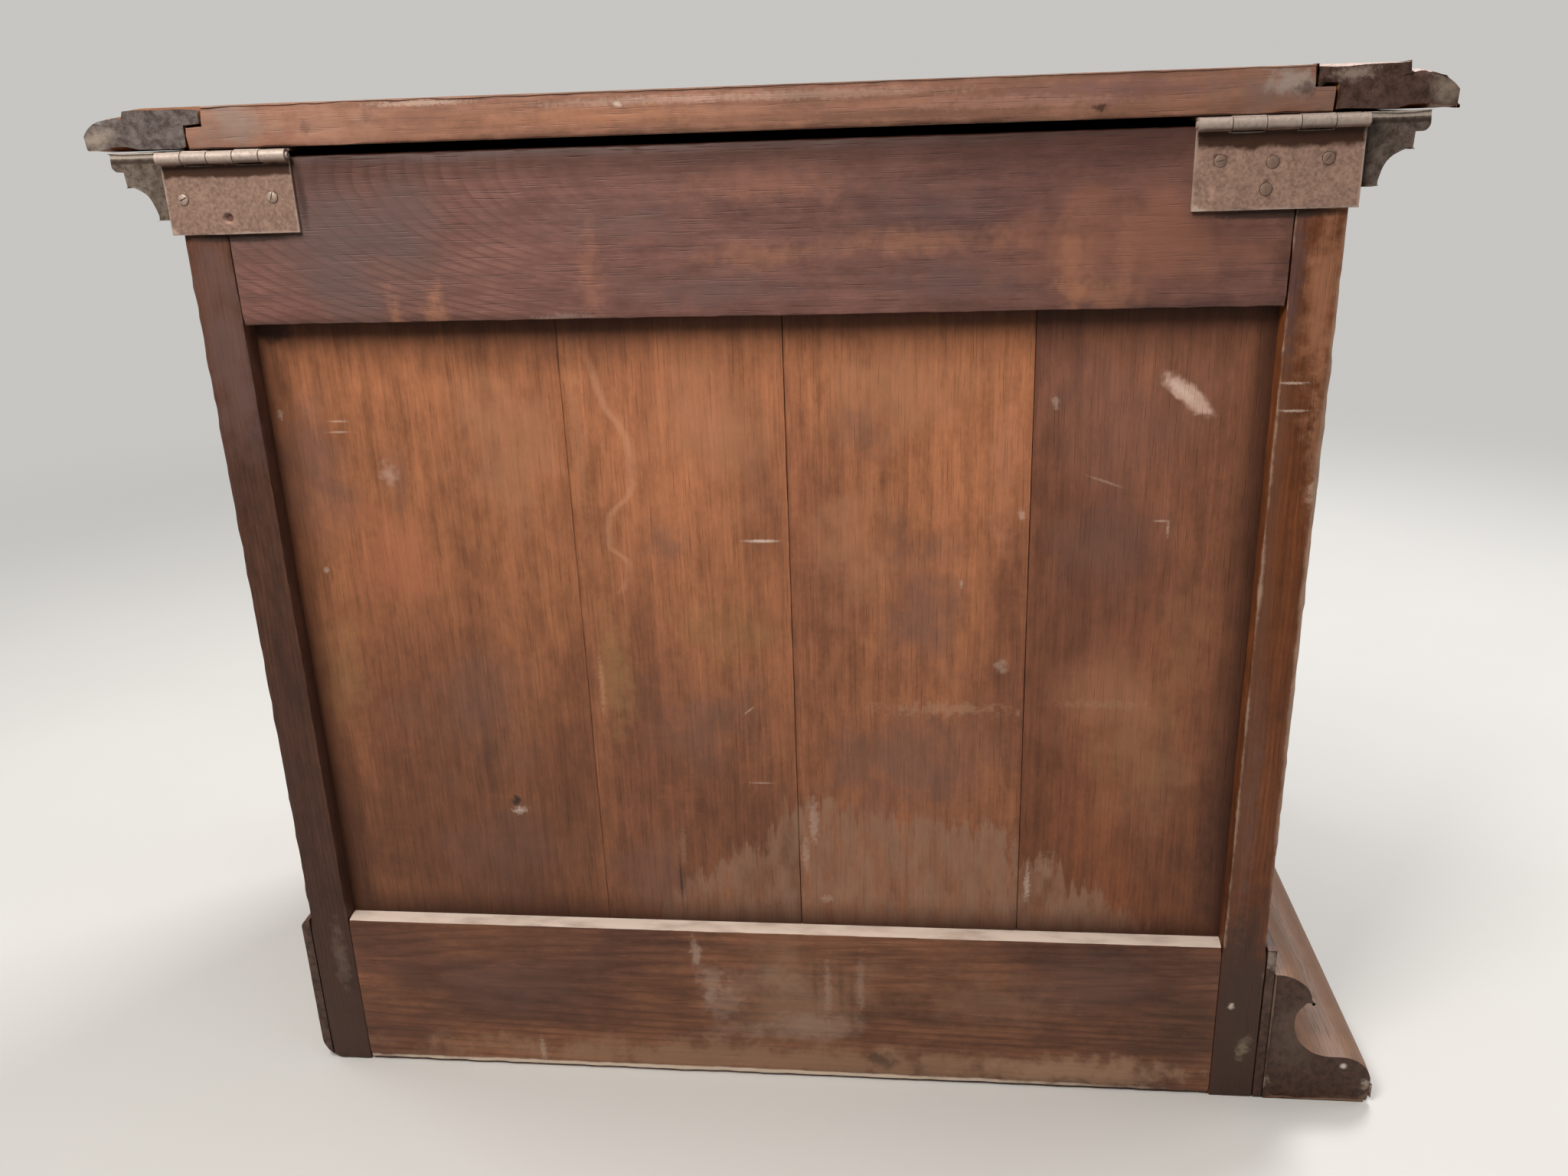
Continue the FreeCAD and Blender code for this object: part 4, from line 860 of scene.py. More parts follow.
# Marks on each back board
BOARD_SPOTS = {
    1: (
        haze(0.312, 0.52, 0.05, 0.06, (0.42, 0.14, 0.075), 0.5),
        haze(0.375, 0.6, 0.055, 0.09, PLUM, 0.55), haze(0.205, 0.61, 0.06, 0.09, WARM, 0.6),
        haze(0.262, 0.375, 0.09, 0.09, PLUM, 0.45), haze(0.375, 0.41, 0.03, 0.08, OCHRE, 0.4),
        haze(0.3, 0.59, 0.018, 0.04, PLUM, 0.35), haze(0.307, 0.592, 0.01, 0.012, PALE, 0.28),
        Spot(0.392, 0.643, 0.0035, 0.005, PALE, 0.5), Spot(0.343, 0.637, 0.011, 0.0013, PALE, 0.4),
        Spot(0.344, 0.628, 0.012, 0.0013, PALE, 0.4), Spot(0.374, 0.5065, 0.0035, 0.004, PALE, 0.4),
        Spot(0.229, 0.285, 0.0062, 0.0075, SOOT_AND_SHADE, 0.95),
        Spot(0.2262, 0.275, 0.0098, 0.005, PALE, 0.75, turn=-0.3),
        # The dark spot by the post and the top rail is painted shade in the corner
        Spot(0.392, 0.712, 0.026, 0.016, SOOT_AND_SHADE, 0.8), haze(0.25, 0.23, 0.11, 0.06, PLUM, 0.35),
    ),
    2: (
        haze(0.03, 0.625, 0.07, 0.085, WARM, 0.6), haze(0.055, 0.365, 0.07, 0.06, PLUM, 0.55),
        haze(0.11, 0.205, 0.05, 0.06, PLUM, 0.45), haze(0.128, 0.41, 0.022, 0.085, OCHRE, 0.5),
        haze(0.075, 0.53, 0.03, 0.026, PLUM, 0.45), haze(0.03, 0.455, 0.07, 0.035, OCHRE, 0.3),
        haze(0.142, 0.63, 0.01, 0.1, WARM, 0.45),
        Spot(-0.005, 0.5328, 0.02, 0.002, PALE, 0.85, ragged=0.4),
        Spot(0.004, 0.3074, 0.014, 0.0012, PALE, 0.35),
        Spot(0.012, 0.378, 0.009, 0.0012, PALE, 0.4, turn=-0.7),
        Spot(0.082, 0.204, 0.0016, 0.034, SOOT_AND_SHADE, 0.75),
        Spot(0.14, 0.4, 0.0035, 0.04, (0.52, 0.27, 0.15), 0.4), Spot(0.078, 0.242, 0.004, 0.03, CHALK, 0.4),
    ),
    3: (
        haze(-0.116, 0.66, 0.085, 0.06, WARM, 0.55), haze(-0.079, 0.52, 0.045, 0.075, WARM, 0.55),
        haze(-0.2, 0.6, 0.018, 0.1, (0.46, 0.19, 0.105), 0.55),
        haze(-0.142, 0.48, 0.05, 0.085, PLUM, 0.6), haze(-0.13, 0.325, 0.1, 0.075, PLUM, 0.62),
        haze(-0.085, 0.625, 0.03, 0.04, PLUM, 0.3),
        Spot(-0.16, 0.382, 0.075, 0.008, (0.42, 0.235, 0.145), 0.45, ragged=1.2),
        Spot(-0.2166, 0.555, 0.004, 0.006, PALE, 0.35), haze(-0.2035, 0.422, 0.008, 0.008, PALE, 0.3),
        Spot(-0.169, 0.4956, 0.002, 0.005, PALE, 0.4), Spot(-0.22, 0.24, 0.006, 0.032, CHALK, 0.55),
        Spot(-0.042, 0.27, 0.006, 0.03, PALE, 0.3), Spot(-0.034, 0.236, 0.005, 0.02, PALE, 0.28),
        Spot(-0.052, 0.19, 0.008, 0.005, PALE, 0.25),
    ),
    4: (
        haze(-0.29, 0.64, 0.09, 0.09, (0.19, 0.09, 0.072), 0.42),
        haze(-0.285, 0.53, 0.06, 0.06, PLUM, 0.5), haze(-0.29, 0.4, 0.07, 0.07, WARM, 0.4),
        haze(-0.325, 0.32, 0.06, 0.09, (0.34, 0.165, 0.08), 0.5),
        haze(-0.35, 0.45, 0.03, 0.08, (0.34, 0.15, 0.07), 0.4),
        Spot(-0.339, 0.6515, 0.03, 0.0095, (0.66, 0.44, 0.355), 0.8, turn=0.69, ragged=0.4, grain=120.0,
             soft=0.5),
        Spot(-0.335, 0.654, 0.02, 0.004, (0.8, 0.62, 0.52), 0.4, turn=0.69),
        Spot(-0.326, 0.5495, 0.008, 0.0013, PALE, 0.45), Spot(-0.3315, 0.543, 0.0014, 0.008, PALE, 0.45),
        Spot(-0.24, 0.646, 0.005, 0.006, PALE, 0.28),
        Spot(-0.281, 0.582, 0.02, 0.0014, PALE, 0.26, turn=0.34),
        Spot(-0.29, 0.388, 0.05, 0.006, (0.36, 0.19, 0.11), 0.4, ragged=1.2),
        Spot(-0.231, 0.21, 0.0035, 0.024, PALE, 0.45), Spot(-0.247, 0.228, 0.008, 0.018, CHALK, 0.6),
    ),
}

# Tone of each back board against the common one, and what it fades to at its foot: painted shade towards the
# floor, which on board 4 also carries a more orange tone
BOARD_FADES = {1: (0.99, (0.50, 0.49, 0.46)), 2: (1.07, (0.60, 0.59, 0.60)), 3: (1.20, (0.59, 0.57, 0.57)),
               4: (1.09, (0.84, 0.67, 0.43))}
# The boards to the two sides of the joint that is nearly shut, and the darkest board
TIGHT_BOARDS = (1, 2)
DARK_BOARD = 4

# Marks on the posts and rails of the back
FRAME_SPOTS = {
    "back_top_rail": (
        haze(0.095, 0.79, 0.08, 0.022, MAUVE, 0.5), haze(0.017, 0.739, 0.1, 0.02, MAUVE, 0.55),
        haze(-0.162, 0.742, 0.09, 0.022, MAUVE, 0.55), haze(-0.144, 0.794, 0.08, 0.025, MAUVE, 0.45),
        haze(0.31, 0.78, 0.12, 0.085, (0.106, 0.071, 0.064), 0.74),
        haze(-0.013, 0.763, 0.06, 0.014, WARM, 0.32), haze(-0.14, 0.771, 0.1, 0.016, WARM, 0.32),
        haze(-0.022, 0.814, 0.09, 0.02, RUSSET, 0.5),
        haze(-0.3, 0.765, 0.13, 0.06, (0.3, 0.125, 0.075), 0.55),
        haze(-0.267, 0.729, 0.04, 0.018, WARM, 0.4), haze(0.275, 0.726, 0.01, 0.024, WARM, 0.42),
        haze(0.241, 0.727, 0.015, 0.028, WARM, 0.48), haze(0.117, 0.752, 0.014, 0.055, RUSSET, 0.5),
        Spot(0.138, 0.7205, 0.036, 0.004, PALE, 0.2),
        haze(-0.246, 0.748, 0.018, 0.056, (0.36, 0.155, 0.085), 0.5),
        haze(-0.284, 0.757, 0.012, 0.055, RUSSET, 0.4), Spot(-0.397, 0.76, 0.01, 0.08, SOOT_AND_SHADE, 0.35),
        # Painted shadows: a dark line by the right case leaf's inner edge, and lines under both leaves
        RIGHT_LEAF_SHADOW, Spot(0.3365, 0.815, 0.005, 0.032, SOOT_AND_SHADE, 0.6, ragged=0.2), LEFT_LEAF_SHADOW,
    ),
    "back_bottom_rail": (
        haze(-0.032, 0.095, 0.09, 0.07, (0.3, 0.172, 0.106), 0.62),
        haze(0.25, 0.095, 0.12, 0.05, PLUM, 0.4), haze(-0.29, 0.115, 0.09, 0.045, PLUM, 0.35),
        Spot(0.0, 0.018, 0.44, 0.026, (0.36, 0.205, 0.12), 0.65, ragged=0.8, grain=40.0),
        Spot(0.07, 0.137, 0.007, 0.02, PALE, 0.3), Spot(0.058, 0.106, 0.016, 0.024, PALE, 0.2, grain=90.0),
        Spot(0.045, 0.082, 0.026, 0.024, PALE, 0.14, grain=90.0),
        Spot(0.036, 0.052, 0.04, 0.018, PALE, 0.1, grain=80.0),
        Spot(-0.03, 0.06, 0.07, 0.02, PALE, 0.14, grain=70.0),
        Spot(0.01, 0.108, 0.046, 0.022, PALE, 0.07, grain=80.0),
        haze(-0.04, 0.105, 0.004, 0.042, SOOT_AND_SHADE, 0.3), haze(-0.052, 0.1, 0.005, 0.048, PALE, 0.18),
        haze(-0.064, 0.105, 0.004, 0.04, SOOT_AND_SHADE, 0.3), haze(-0.082, 0.105, 0.006, 0.044, PALE, 0.16),
        haze(-0.074, 0.095, 0.003, 0.04, SOOT_AND_SHADE, 0.25), Spot(-0.1, 0.024, 0.02, 0.012, SOOT_AND_SHADE, 0.6),
        Spot(0.226, 0.02, 0.004, 0.018, PALE, 0.35),
        Spot(0.06, 0.005, 0.46, 0.0042, (0.86, 0.7, 0.56), 0.95, ragged=0.3, grain=45.0, soft=0.5),
        haze(-0.37, 0.08, 0.06, 0.09, SOOT_AND_SHADE, 0.28),
        haze(-0.2, 0.095, 0.09, 0.04, (0.26, 0.14, 0.085), 0.45, grain=60.0),
        Spot(-0.28, 0.022, 0.13, 0.022, (0.4, 0.235, 0.145), 0.7, grain=60.0),
    ),
    "back_post_left": (
        Spot(-0.403, 0.46, 0.014, 0.6, (0.133, 0.053, 0.027), 0.75, ragged=0.4, grain=30.0),
        Spot(-0.419, 0.05, 0.06, 0.17, (0.055, 0.027, 0.018), 0.95, ragged=0.4, grain=30.0, soft=0.5),
        Spot(-0.4125, 0.662, 0.016, 0.0014, PALE, 0.6), Spot(-0.4146, 0.641, 0.015, 0.0014, PALE, 0.6),
        Spot(-0.436, 0.578, 0.006, 0.014, PALE, 0.7), haze(-0.414, 0.3, 0.01, 0.16, PLUM, 0.45),
        Spot(-0.4135, 0.1, 0.004, 0.004, PALE, 0.9),
        Spot(-0.427, 0.053, 0.007, 0.017, (0.34, 0.26, 0.18), 0.42, turn=0.25),
        haze(-0.427, 0.73, 0.02, 0.12, (0.42, 0.188, 0.102), 0.62),
        haze(-0.434, 0.62, 0.01, 0.1, (0.38, 0.18, 0.098), 0.5),
        haze(-0.405, 0.745, 0.011, 0.1, (0.08, 0.042, 0.041), 0.7),
        # Pale line down the worn outer arris: wear with a painted highlight
        Spot(-0.4395, 0.49, 0.0065, 0.38, (0.42, 0.26, 0.18), 0.85, ragged=0.35, grain=50.0, soft=0.6),
        LEFT_LEAF_SHADOW,
    ),
    "back_post_right": (
        haze(0.42, 0.05, 0.05, 0.16, (0.068, 0.035, 0.024), 0.7),
        haze(0.42, 0.69, 0.04, 0.13, (0.128, 0.074, 0.066), 0.6), RIGHT_LEAF_SHADOW,
        haze(0.415, 0.12, 0.01, 0.05, PALE, 0.1),
    ),
}

# Marks on the back edge of the lid
LID_SPOTS = {
    "lid_board_back": (
        Spot(-0.261, 0.8605, 0.007, 0.005, SOOT_AND_SHADE, 0.75),
        haze(0.385, 0.87, 0.045, 0.03, (0.22, 0.172, 0.146), 0.72),
        haze(0.25, 0.866, 0.04, 0.014, (0.22, 0.11, 0.078), 0.35),
        haze(0.315, 0.868, 0.08, 0.022, (0.44, 0.26, 0.185), 0.28),
        haze(-0.385, 0.868, 0.075, 0.024, (0.19, 0.125, 0.105), 0.75),
        Spot(-0.39, 0.873, 0.024, 0.012, (0.36, 0.29, 0.25), 0.65),
        Spot(-0.4, 0.868, 0.012, 0.007, SOOT_AND_SHADE, 0.6), haze(0.1, 0.866, 0.12, 0.01, WARM, 0.45),
        # Pale along the worn top arris: wear with a painted highlight
        Spot(0.235, 0.88, 0.05, 0.003, PALE, 0.35),
        # Painted shade where the rounded top edge turns from the light
        Spot(0.0, 0.8845, 0.5, 0.004, SOOT_AND_SHADE, 0.45, ragged=0.5, grain=60.0),
        Spot(-0.12, 0.86, 0.12, 0.006, PLUM, 0.3),
        haze(-0.27, 0.872, 0.12, 0.012, (0.19, 0.1, 0.095), 0.55),
        # The pale marks at 0.876 are wear with a painted highlight along the top arris
        Spot(-0.2, 0.866, 0.1, 0.006, (0.4, 0.22, 0.17), 0.35), Spot(0.06, 0.876, 0.11, 0.004, PALE, 0.18),
        Spot(-0.06, 0.876, 0.13, 0.005, PALE, 0.15), Spot(0.085, 0.874, 0.004, 0.003, PALE, 0.6),
        Spot(0.325, 0.866, 0.006, 0.008, PLUM, 0.6), Spot(0.275, 0.872, 0.008, 0.006, PLUM, 0.5),
        Spot(0.0, 0.8535, 0.45, 0.004, SOOT_AND_SHADE, 0.45, ragged=0.5, grain=60.0),
    ),
    "lid_cleat_right": (
        haze(0.494, 0.862, 0.02, 0.014, (0.34, 0.275, 0.22), 0.75),
        Spot(0.408, 0.872, 0.006, 0.01, SOOT_AND_SHADE, 0.8), Spot(0.4835, 0.876, 0.006, 0.004, SOOT_AND_SHADE, 0.5),
    ),
    "lid_cleat_left": (
        Spot(-0.414, 0.87, 0.009, 0.008, SOOT_AND_SHADE, 0.8), Spot(-0.43, 0.877, 0.02, 0.006, PALE, 0.3),
        haze(-0.494, 0.866, 0.016, 0.014, (0.3, 0.245, 0.19), 0.65),
    ),
}


# Marks on the base moulding and its ground, seen on their ends
RUN_SPOTS = {
    "plinth_ground_left": (Spot(-0.4445, 0.15, 0.008, 0.015, (0.4, 0.32, 0.26), 0.55, ragged=1.0),),
    "plinth_moulding_left": (
        Spot(-0.5173, 0.038, 0.0042, 0.0042, (0.72, 0.62, 0.54), 0.95, ragged=0.2),
        Spot(-0.4487, 0.019, 0.007, 0.009, PALE, 0.3), Spot(-0.54, 0.0195, 0.006, 0.008, PALE, 0.5),
        Spot(-0.47, 0.07, 0.03, 0.05, (0.13, 0.088, 0.066), 0.5),
    ),
}

# Tones of bare end grain
DARK_END = (0.068, 0.031, 0.020)
GREY_END = (0.096, 0.078, 0.067)
END_TONES = {"cornice_front": GREY_END, "cornice_left": GREY_END, "cornice_right": (0.115, 0.094, 0.076),
             "plinth_ground_right": (0.092, 0.052, 0.038), "lid_cleat_left": (0.071, 0.043, 0.036),
             "lid_cleat_right": (0.110, 0.097, 0.094)}

# Looks of the members of the back, and of a bar of the waxed front and sides
BACK_LOOKS = {
    "back_top_rail": {"heart": (0.046, 0.009), "slope": 0.284, "ring_pitch": 0.0042, "rings": 0.62,
                      "ring_fade": (0.06, 0.24), "stain": 0.4, "nook": 0.9, "worn": 0.05, "depth": 0.32},
    "back_bottom_rail": {"heart": (0.02, 0.02), "slope": 0.05, "ring_pitch": 0.006, "rings": 0.55,
                         "dust": 0.9, "stain": 1.0, "worn": 0.15, "depth": 0.24},
    "back_post_left": {"worn": 0.70, "stain": 0.7, "depth": 0.28},
    # The right post's foot fades to painted shade towards the floor
    "back_post_right": {"worn": 0.20, "stain": 0.5, "depth": 0.28, "foot": (0.80, 0.82, 0.82)},
}
WAXED_BAR = {"rough": 0.30, "sheen": 0.45, "stain": 0.55, "rings": 0.45, "slope": 0.02, "worn": 0.45}

# Kinds of moulding: where they run, their slot, first seed, how deep their ends crumble, and their look
RUNS = (
    ("cornice", ("front", *SIDES), "moulding_oak", 40.0, 0.5, {"rough": 0.4, "worn": 0.15}),
    ("plinth_ground", ("front", *SIDES), "plinth_oak", 45.0, 0.1, {"rough": 0.45, "worn": 0.1}),
    ("plinth_moulding", ("front", "left"), "plinth_oak", 50.0, 0.6,
     {"rough": 0.45, "worn": 0.3, "dust": 0.05}),
)


# Pieces


class ChestPiece:
    """What the operators that dress the chest share."""

    bl_options = {"REGISTER", "UNDO"}

    def execute(self, context):
        """Dresses the pieces, and stops on any that can't be made."""
        self.dress(*settings())
        return {"FINISHED"}


class MULECHEST_OT_back_boards(ChestPiece, bpy.types.Operator):
    """Four lapped boards of uneven width between the back posts"""

    bl_idname = "mulechest.back_boards"
    bl_label = "Back boards"

    def dress(self, sizes, colours):
        """Models each board from its node, with painted shade by the frame."""
        low, high = bar("back_board_1", "X", "back_post_left", "back_post_right")
        # Painted shade by the frame, reaching furthest under the top rail, where its shadow falls
        frame_edges = (("X", low.x, 1.0), ("X", high.x, 1.0), ("Z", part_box("back_top_rail")[0].z, 0.72),
                       ("Z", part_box("back_bottom_rail")[1].z, 1.2))
        for number, (share, foot) in BOARD_FADES.items():
            node = f"back_board_{number}"
            piece = copy_piece(node)
            steps = [sizes.tight_close if number == board else sizes.joint_close for board in TIGHT_BOARDS]
            self.close_joints(piece, *steps)
            wear_copy(piece, sizes.joint_ease, BOARD_EDGE, "XZ", sizes.pitch, chips=0.15)
            mark_planes(piece, "nook", frame_edges, sizes.nook_reach)
            tone = toned(colours.board_dark if number == DARK_BOARD else colours.board, share)
            material = oak(node, UPRIGHT_GRAIN, tone, seed=3.1 * number, heart=(0.9, 0.0), ring_pitch=0.0042,
                           rings=0.16, rays=0.08, stain=0.7, worn=0.0, nook=0.85, rough=0.45, depth=0.32,
                           spots=BOARD_SPOTS[number], marks=board_marks, foot=foot)
            finish_piece(piece, "case", node, material)

    def close_joints(self, piece, low_step, high_step):
        """Moves the two long edges of a board's seen face out, so that its joints are tight."""
        points = points_of(piece)
        face = points[points[:, 1] > points[:, 1].max() - TOUCH]
        for edge, step in ((face[:, 0].min(), -low_step), (face[:, 0].max(), high_step)):
            edit(piece)
            pick_points(piece, lambda point: abs(point.x - edge) < TOUCH)
            bpy.ops.transform.translate(value=(step, 0.0, 0.0))
            done()


class MULECHEST_OT_frame_members(ChestPiece, bpy.types.Operator):
    """Posts, rails, muntin and divider of the case"""

    bl_idname = "mulechest.frame_members"
    bl_label = "Frame members"

    def dress(self, sizes, colours):
        """Models each straight member as a worn bar."""
        backs, fronts = (tuple(f"{face}_post_{side}" for side in SIDES) for face in ("back", "front"))
        bars = {node: (bar(node), UPRIGHT_GRAIN) for node in (*backs, *fronts)}
        for node in ("back_top_rail", "back_bottom_rail"):
            bars[node] = (bar(node, "X", *backs), RAIL_GRAIN)
        for node in ("front_top_rail", "front_drawer_rail", "front_bottom_rail"):
            bars[node] = (bar(node, "X", *fronts), RAIL_GRAIN)
        for node, first, second in (("front_muntin", "front_drawer_rail", "front_top_rail"),
                                    ("drawer_divider", "front_bottom_rail", "front_drawer_rail")):
            bars[node] = (bar(node, "Z", first, second), UPRIGHT_GRAIN)
        for side in SIDES:
            for level in ("top", "bottom"):
                node = f"side_{level}_rail_{side}"
                bars[node] = (bar(node, "Y", f"front_post_{side}", f"back_post_{side}"), SIDE_RAIL_GRAIN)
        tones = {"back_post_left": colours.orange_post, "back_post_right": colours.back_post,
                 "back_top_rail": colours.back_rail, "back_bottom_rail": colours.foot_rail}
        for number, (node, (corners, grain)) in enumerate(bars.items()):
            tone = tones.get(node, colours.waxed)
            self.make_member(node, corners, grain, tone, 1.7 * number, sizes)

    def make_member(self, node, corners, grain, tone, seed, sizes):
        """One worn bar."""
        is_back = node.startswith("back")
        is_back_post = node.startswith("back_post")
        is_right_foot = node == "back_post_right"
        look = BACK_LOOKS.get(node) or {**WAXED_BAR, "heart": (0.03 + 0.01 * (seed % 5), 0.04)}
        low, high = corners
        piece = new_piece(f"{node}_worn", bpy.ops.mesh.primitive_cube_add, size=1.0,
                          location=(low + high) / 2, scale=high - low)
        segments = ease(piece, sizes.arris_ease, along="" if "post" in node else grain[0])
        if is_back_post:
            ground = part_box(node.replace("back_post", "plinth_ground"))[1].z
            segments = segments[np.ptp(segments[:, :, 2], axis=1) > sizes.wear_reach]
            segments[:, :, 2] = np.maximum(segments[:, :, 2], ground)
        if is_right_foot:
            round_foot(piece, sizes.foot_round)
            slice_up(piece, AXES, sizes.pitch)
        else:
            divide(piece, sizes.pitch if is_back else sizes.coarse_pitch)
        age(piece, segments, chips=1.5 if is_back_post else 1.0 if is_back else 0.6)
        # Painted shade along the top rail's top edge, under the lid
        if "nook" in look:
            mark_planes(piece, "nook", (("Z", high.z, 1.0),), sizes.nook_reach)
        if is_right_foot:
            crumble(piece, "Z", low.z, FOOT_END, depth=0.3)
        material = oak(node, grain, tone, seed=seed, spots=FRAME_SPOTS.get(node, ()), **look)
        finish_piece(piece, "case", node, material)


class MULECHEST_OT_panels(ChestPiece, bpy.types.Operator):
    """Fielded panels of the front and the sides"""

    bl_idname = "mulechest.panels"
    bl_label = "Fielded panels"

    def dress(self, sizes, colours):
        """Models each panel from its node."""
        faces = (("front", UPRIGHT_GRAIN, "XZ"), ("side", SIDE_UPRIGHT_GRAIN, "YZ"))
        for number, (face, grain, axes) in enumerate(faces):
            for step, side in enumerate(SIDES):
                node = f"{face}_panel_{side}"
                piece = copy_piece(node)
                wear_copy(piece, sizes.fine_ease, BAR_EDGE, axes, sizes.panel_pitch, chips=0.3)
                edges = [(axis, corner[AXES.index(axis)], 1.0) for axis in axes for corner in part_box(node)]
                # Painted shade near the panel's edges, in the frame's recess
                mark_planes(piece, "nook", edges, 2 * sizes.nook_reach)
                material = oak(node, grain, colours.waxed, seed=20.0 + 3 * number + step,
                               heart=(0.02, 0.03), slope=0.05, ring_pitch=0.006, rings=0.5, rough=0.30,
                               stain=0.55, nook=0.9, sheen=0.45)
                finish_piece(piece, "case", node, material)


class MULECHEST_OT_mouldings(ChestPiece, bpy.types.Operator):
    """Cornice under the lid, and the plinth with its grounds"""

    bl_idname = "mulechest.mouldings"
    bl_label = "Mouldings"

    def dress(self, sizes, colours):
        """Models each run of moulding from its node."""
        for kind, places, slot, seed, depth, look in RUNS:
            for number, place in enumerate(places):
                node = f"{kind}_{place}"
                is_front = place == "front"
                tone = colours.waxed if kind == "cornice" else colours.plinth
                if kind == "plinth_ground" and not is_front:
                    tone = colours.back_post
                is_bare_cornice = kind == "cornice" and not is_front
                spots = self.cornice_marks(node) if is_bare_cornice else RUN_SPOTS.get(node, ())
                grain = FLAT_GRAIN if is_front else CLEAT_GRAIN
                material = oak(node, grain, tone, seed=seed + number, end_tone=END_TONES.get(node, DARK_END),
                               spots=spots, **look)
                self.make_run(node, slot, material, depth, sizes)

    def cornice_marks(self, node):
        """Painted highlight on the worn top fillet, painted shadow under it, and painted shade in the gap by
        the hinge leaf, on the bare end of a cornice.
        """
        low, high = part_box(node)
        middle = (low.x + high.x) / 2
        # Painted highlight on the worn fillet, painted shadow below it, and painted shade in the gap by the
        # leaf
        return (Spot(middle, high.z - 0.0022, 0.06, 0.0026, LIT_FILLET, 0.75, ragged=0.2, soft=0.3),
                Spot(middle, high.z - 0.0070, 0.06, 0.0020, SOOT_AND_SHADE, 0.7, ragged=0.2, soft=0.6),
                Spot(math.copysign(0.442, middle), 0.815, 0.0035, 0.026, SOOT_AND_SHADE, 0.85, ragged=0.2, soft=0.6))

    def round_strip(self, piece, width):
        """Rounds the two long outer arrises of the strip that lost its moulding."""
        edit(piece)
        segments = pick_arrises(piece, width, "Y")
        grid = bmesh.from_edit_mesh(piece.data)
        outer = max(vert.co.x for vert in grid.verts)
        for edge in grid.edges:
            edge.select_set(edge.select and min(vert.co.x for vert in edge.verts) > outer - TOUCH)
        bmesh.update_edit_mesh(piece.data)
        bpy.ops.mesh.bevel(offset=width, segments=5, affect="EDGES", clamp_overlap=True)
        done()
        return segments[segments[:, 0, 0] > outer - TOUCH]

    def make_run(self, node, slot, material, depth, sizes):
        """One run of moulding, worn along its arrises and crumbled at its bare end."""
        piece = copy_piece(node)
        if node == "plinth_ground_right":
            segments = self.round_strip(piece, sizes.bare_ease)
            round_foot(piece, sizes.foot_round)
        else:
            segments = ease(piece, sizes.fine_ease, RUN_EDGE)
        slice_up(piece, AXES, sizes.moulding_pitch)
        age(piece, segments, chips=0.2 if "ground" in node else 0.6)
        if not node.endswith("front"):
            crumble(piece, "Y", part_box("back_top_rail")[1].y, RUN_END, depth)
        finish_piece(piece, "case", node, material)


class MULECHEST_OT_lid(ChestPiece, bpy.types.Operator):
    """Two lid boards and their breadboard cleats"""

    bl_idname = "mulechest.lid"
    bl_label = "Lid"

    def dress(self, sizes, colours):
        """Models the boards and cleats from their nodes."""
        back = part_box("lid_board_back")[1].y
        nodes = ("lid_board_back", "lid_board_front", "lid_cleat_left", "lid_cleat_right")
        for number, node in enumerate(nodes):
            is_cleat = "cleat" in node
            material = oak(node, CLEAT_GRAIN if is_cleat else FLAT_GRAIN, colours.lid,
                           back_tone=colours.lid_edge, seed=60.0 + number, rough=0.40,
                           heart=(0.02, 0.05), slope=0.04, ring_pitch=0.005, rings=0.3, stain=0.45,
                           worn=0.15 if is_cleat else 0.25, end_tone=END_TONES.get(node), sheen=0.15,
                           spots=LID_SPOTS.get(node, ()))
            piece = copy_piece(node)
            if is_cleat:
                wear_copy(piece, sizes.nose_ease, BOARD_EDGE, AXES, sizes.moulding_pitch)
                crumble(piece, "Y", back, CLEAT_END, depth=1.0, length=DENT_SHARE)
                self.soften_step(piece, back - CLEAT_END, sizes.nose_width)
            else:
                wear_copy(piece, sizes.arris_ease, FRONT_EDGE, AXES, sizes.moulding_pitch)
            finish_piece(piece, "lid", node, material)

    def soften_step(self, piece, start, nose):
        """Smooths the step behind a cleat's nose at its bare end, which has been knocked about."""
        tip = np.abs(points_of(piece)[:, 0]).max()
        edit(piece)
        pick_points(piece, lambda point: nose < tip - abs(point.x) < STEP_REACH * nose and point.y > start)
        bpy.ops.mesh.vertices_smooth(factor=0.5, repeat=3)
        done()


class MULECHEST_OT_drawers(ChestPiece, bpy.types.Operator):
    """Fronts, linings and knobs of the two drawers"""

    bl_idname = "mulechest.drawers"
    bl_label = "Drawers"

    def dress(self, sizes, colours):
        """Models the fronts from their nodes, and finishes the linings and knobs."""
        seed = 80.0
        for side in SIDES:
            body = f"drawer_{side}"
            for part in ("front", "side_left", "side_right", "back", "bottom", "knobs"):
                seed += 1.3
                node = f"{body}_{part}"
                if part == "front":
                    material = oak(node, RAIL_GRAIN, colours.waxed, seed=seed, rough=0.30,
                                   heart=(0.01, 0.02), slope=0.06, ring_pitch=0.0055, stain=0.55, sheen=0.45)
                    piece = copy_piece(node)
                    wear_copy(piece, sizes.fine_ease, FRONT_EDGE, "XZ", sizes.coarse_pitch, chips=0.3)
                    finish_piece(piece, body, node, material)
                elif part == "knobs":
                    paint_node(node, oak(node, FLAT_GRAIN, toned(colours.waxed, 0.6), seed=seed, rough=0.22))
                else:
                    grain = {"back": RAIL_GRAIN, "bottom": FLAT_GRAIN}.get(part, SIDE_RAIL_GRAIN)
                    paint_node(node, oak(node, grain, colours.inner, seed=seed, rough=0.6))


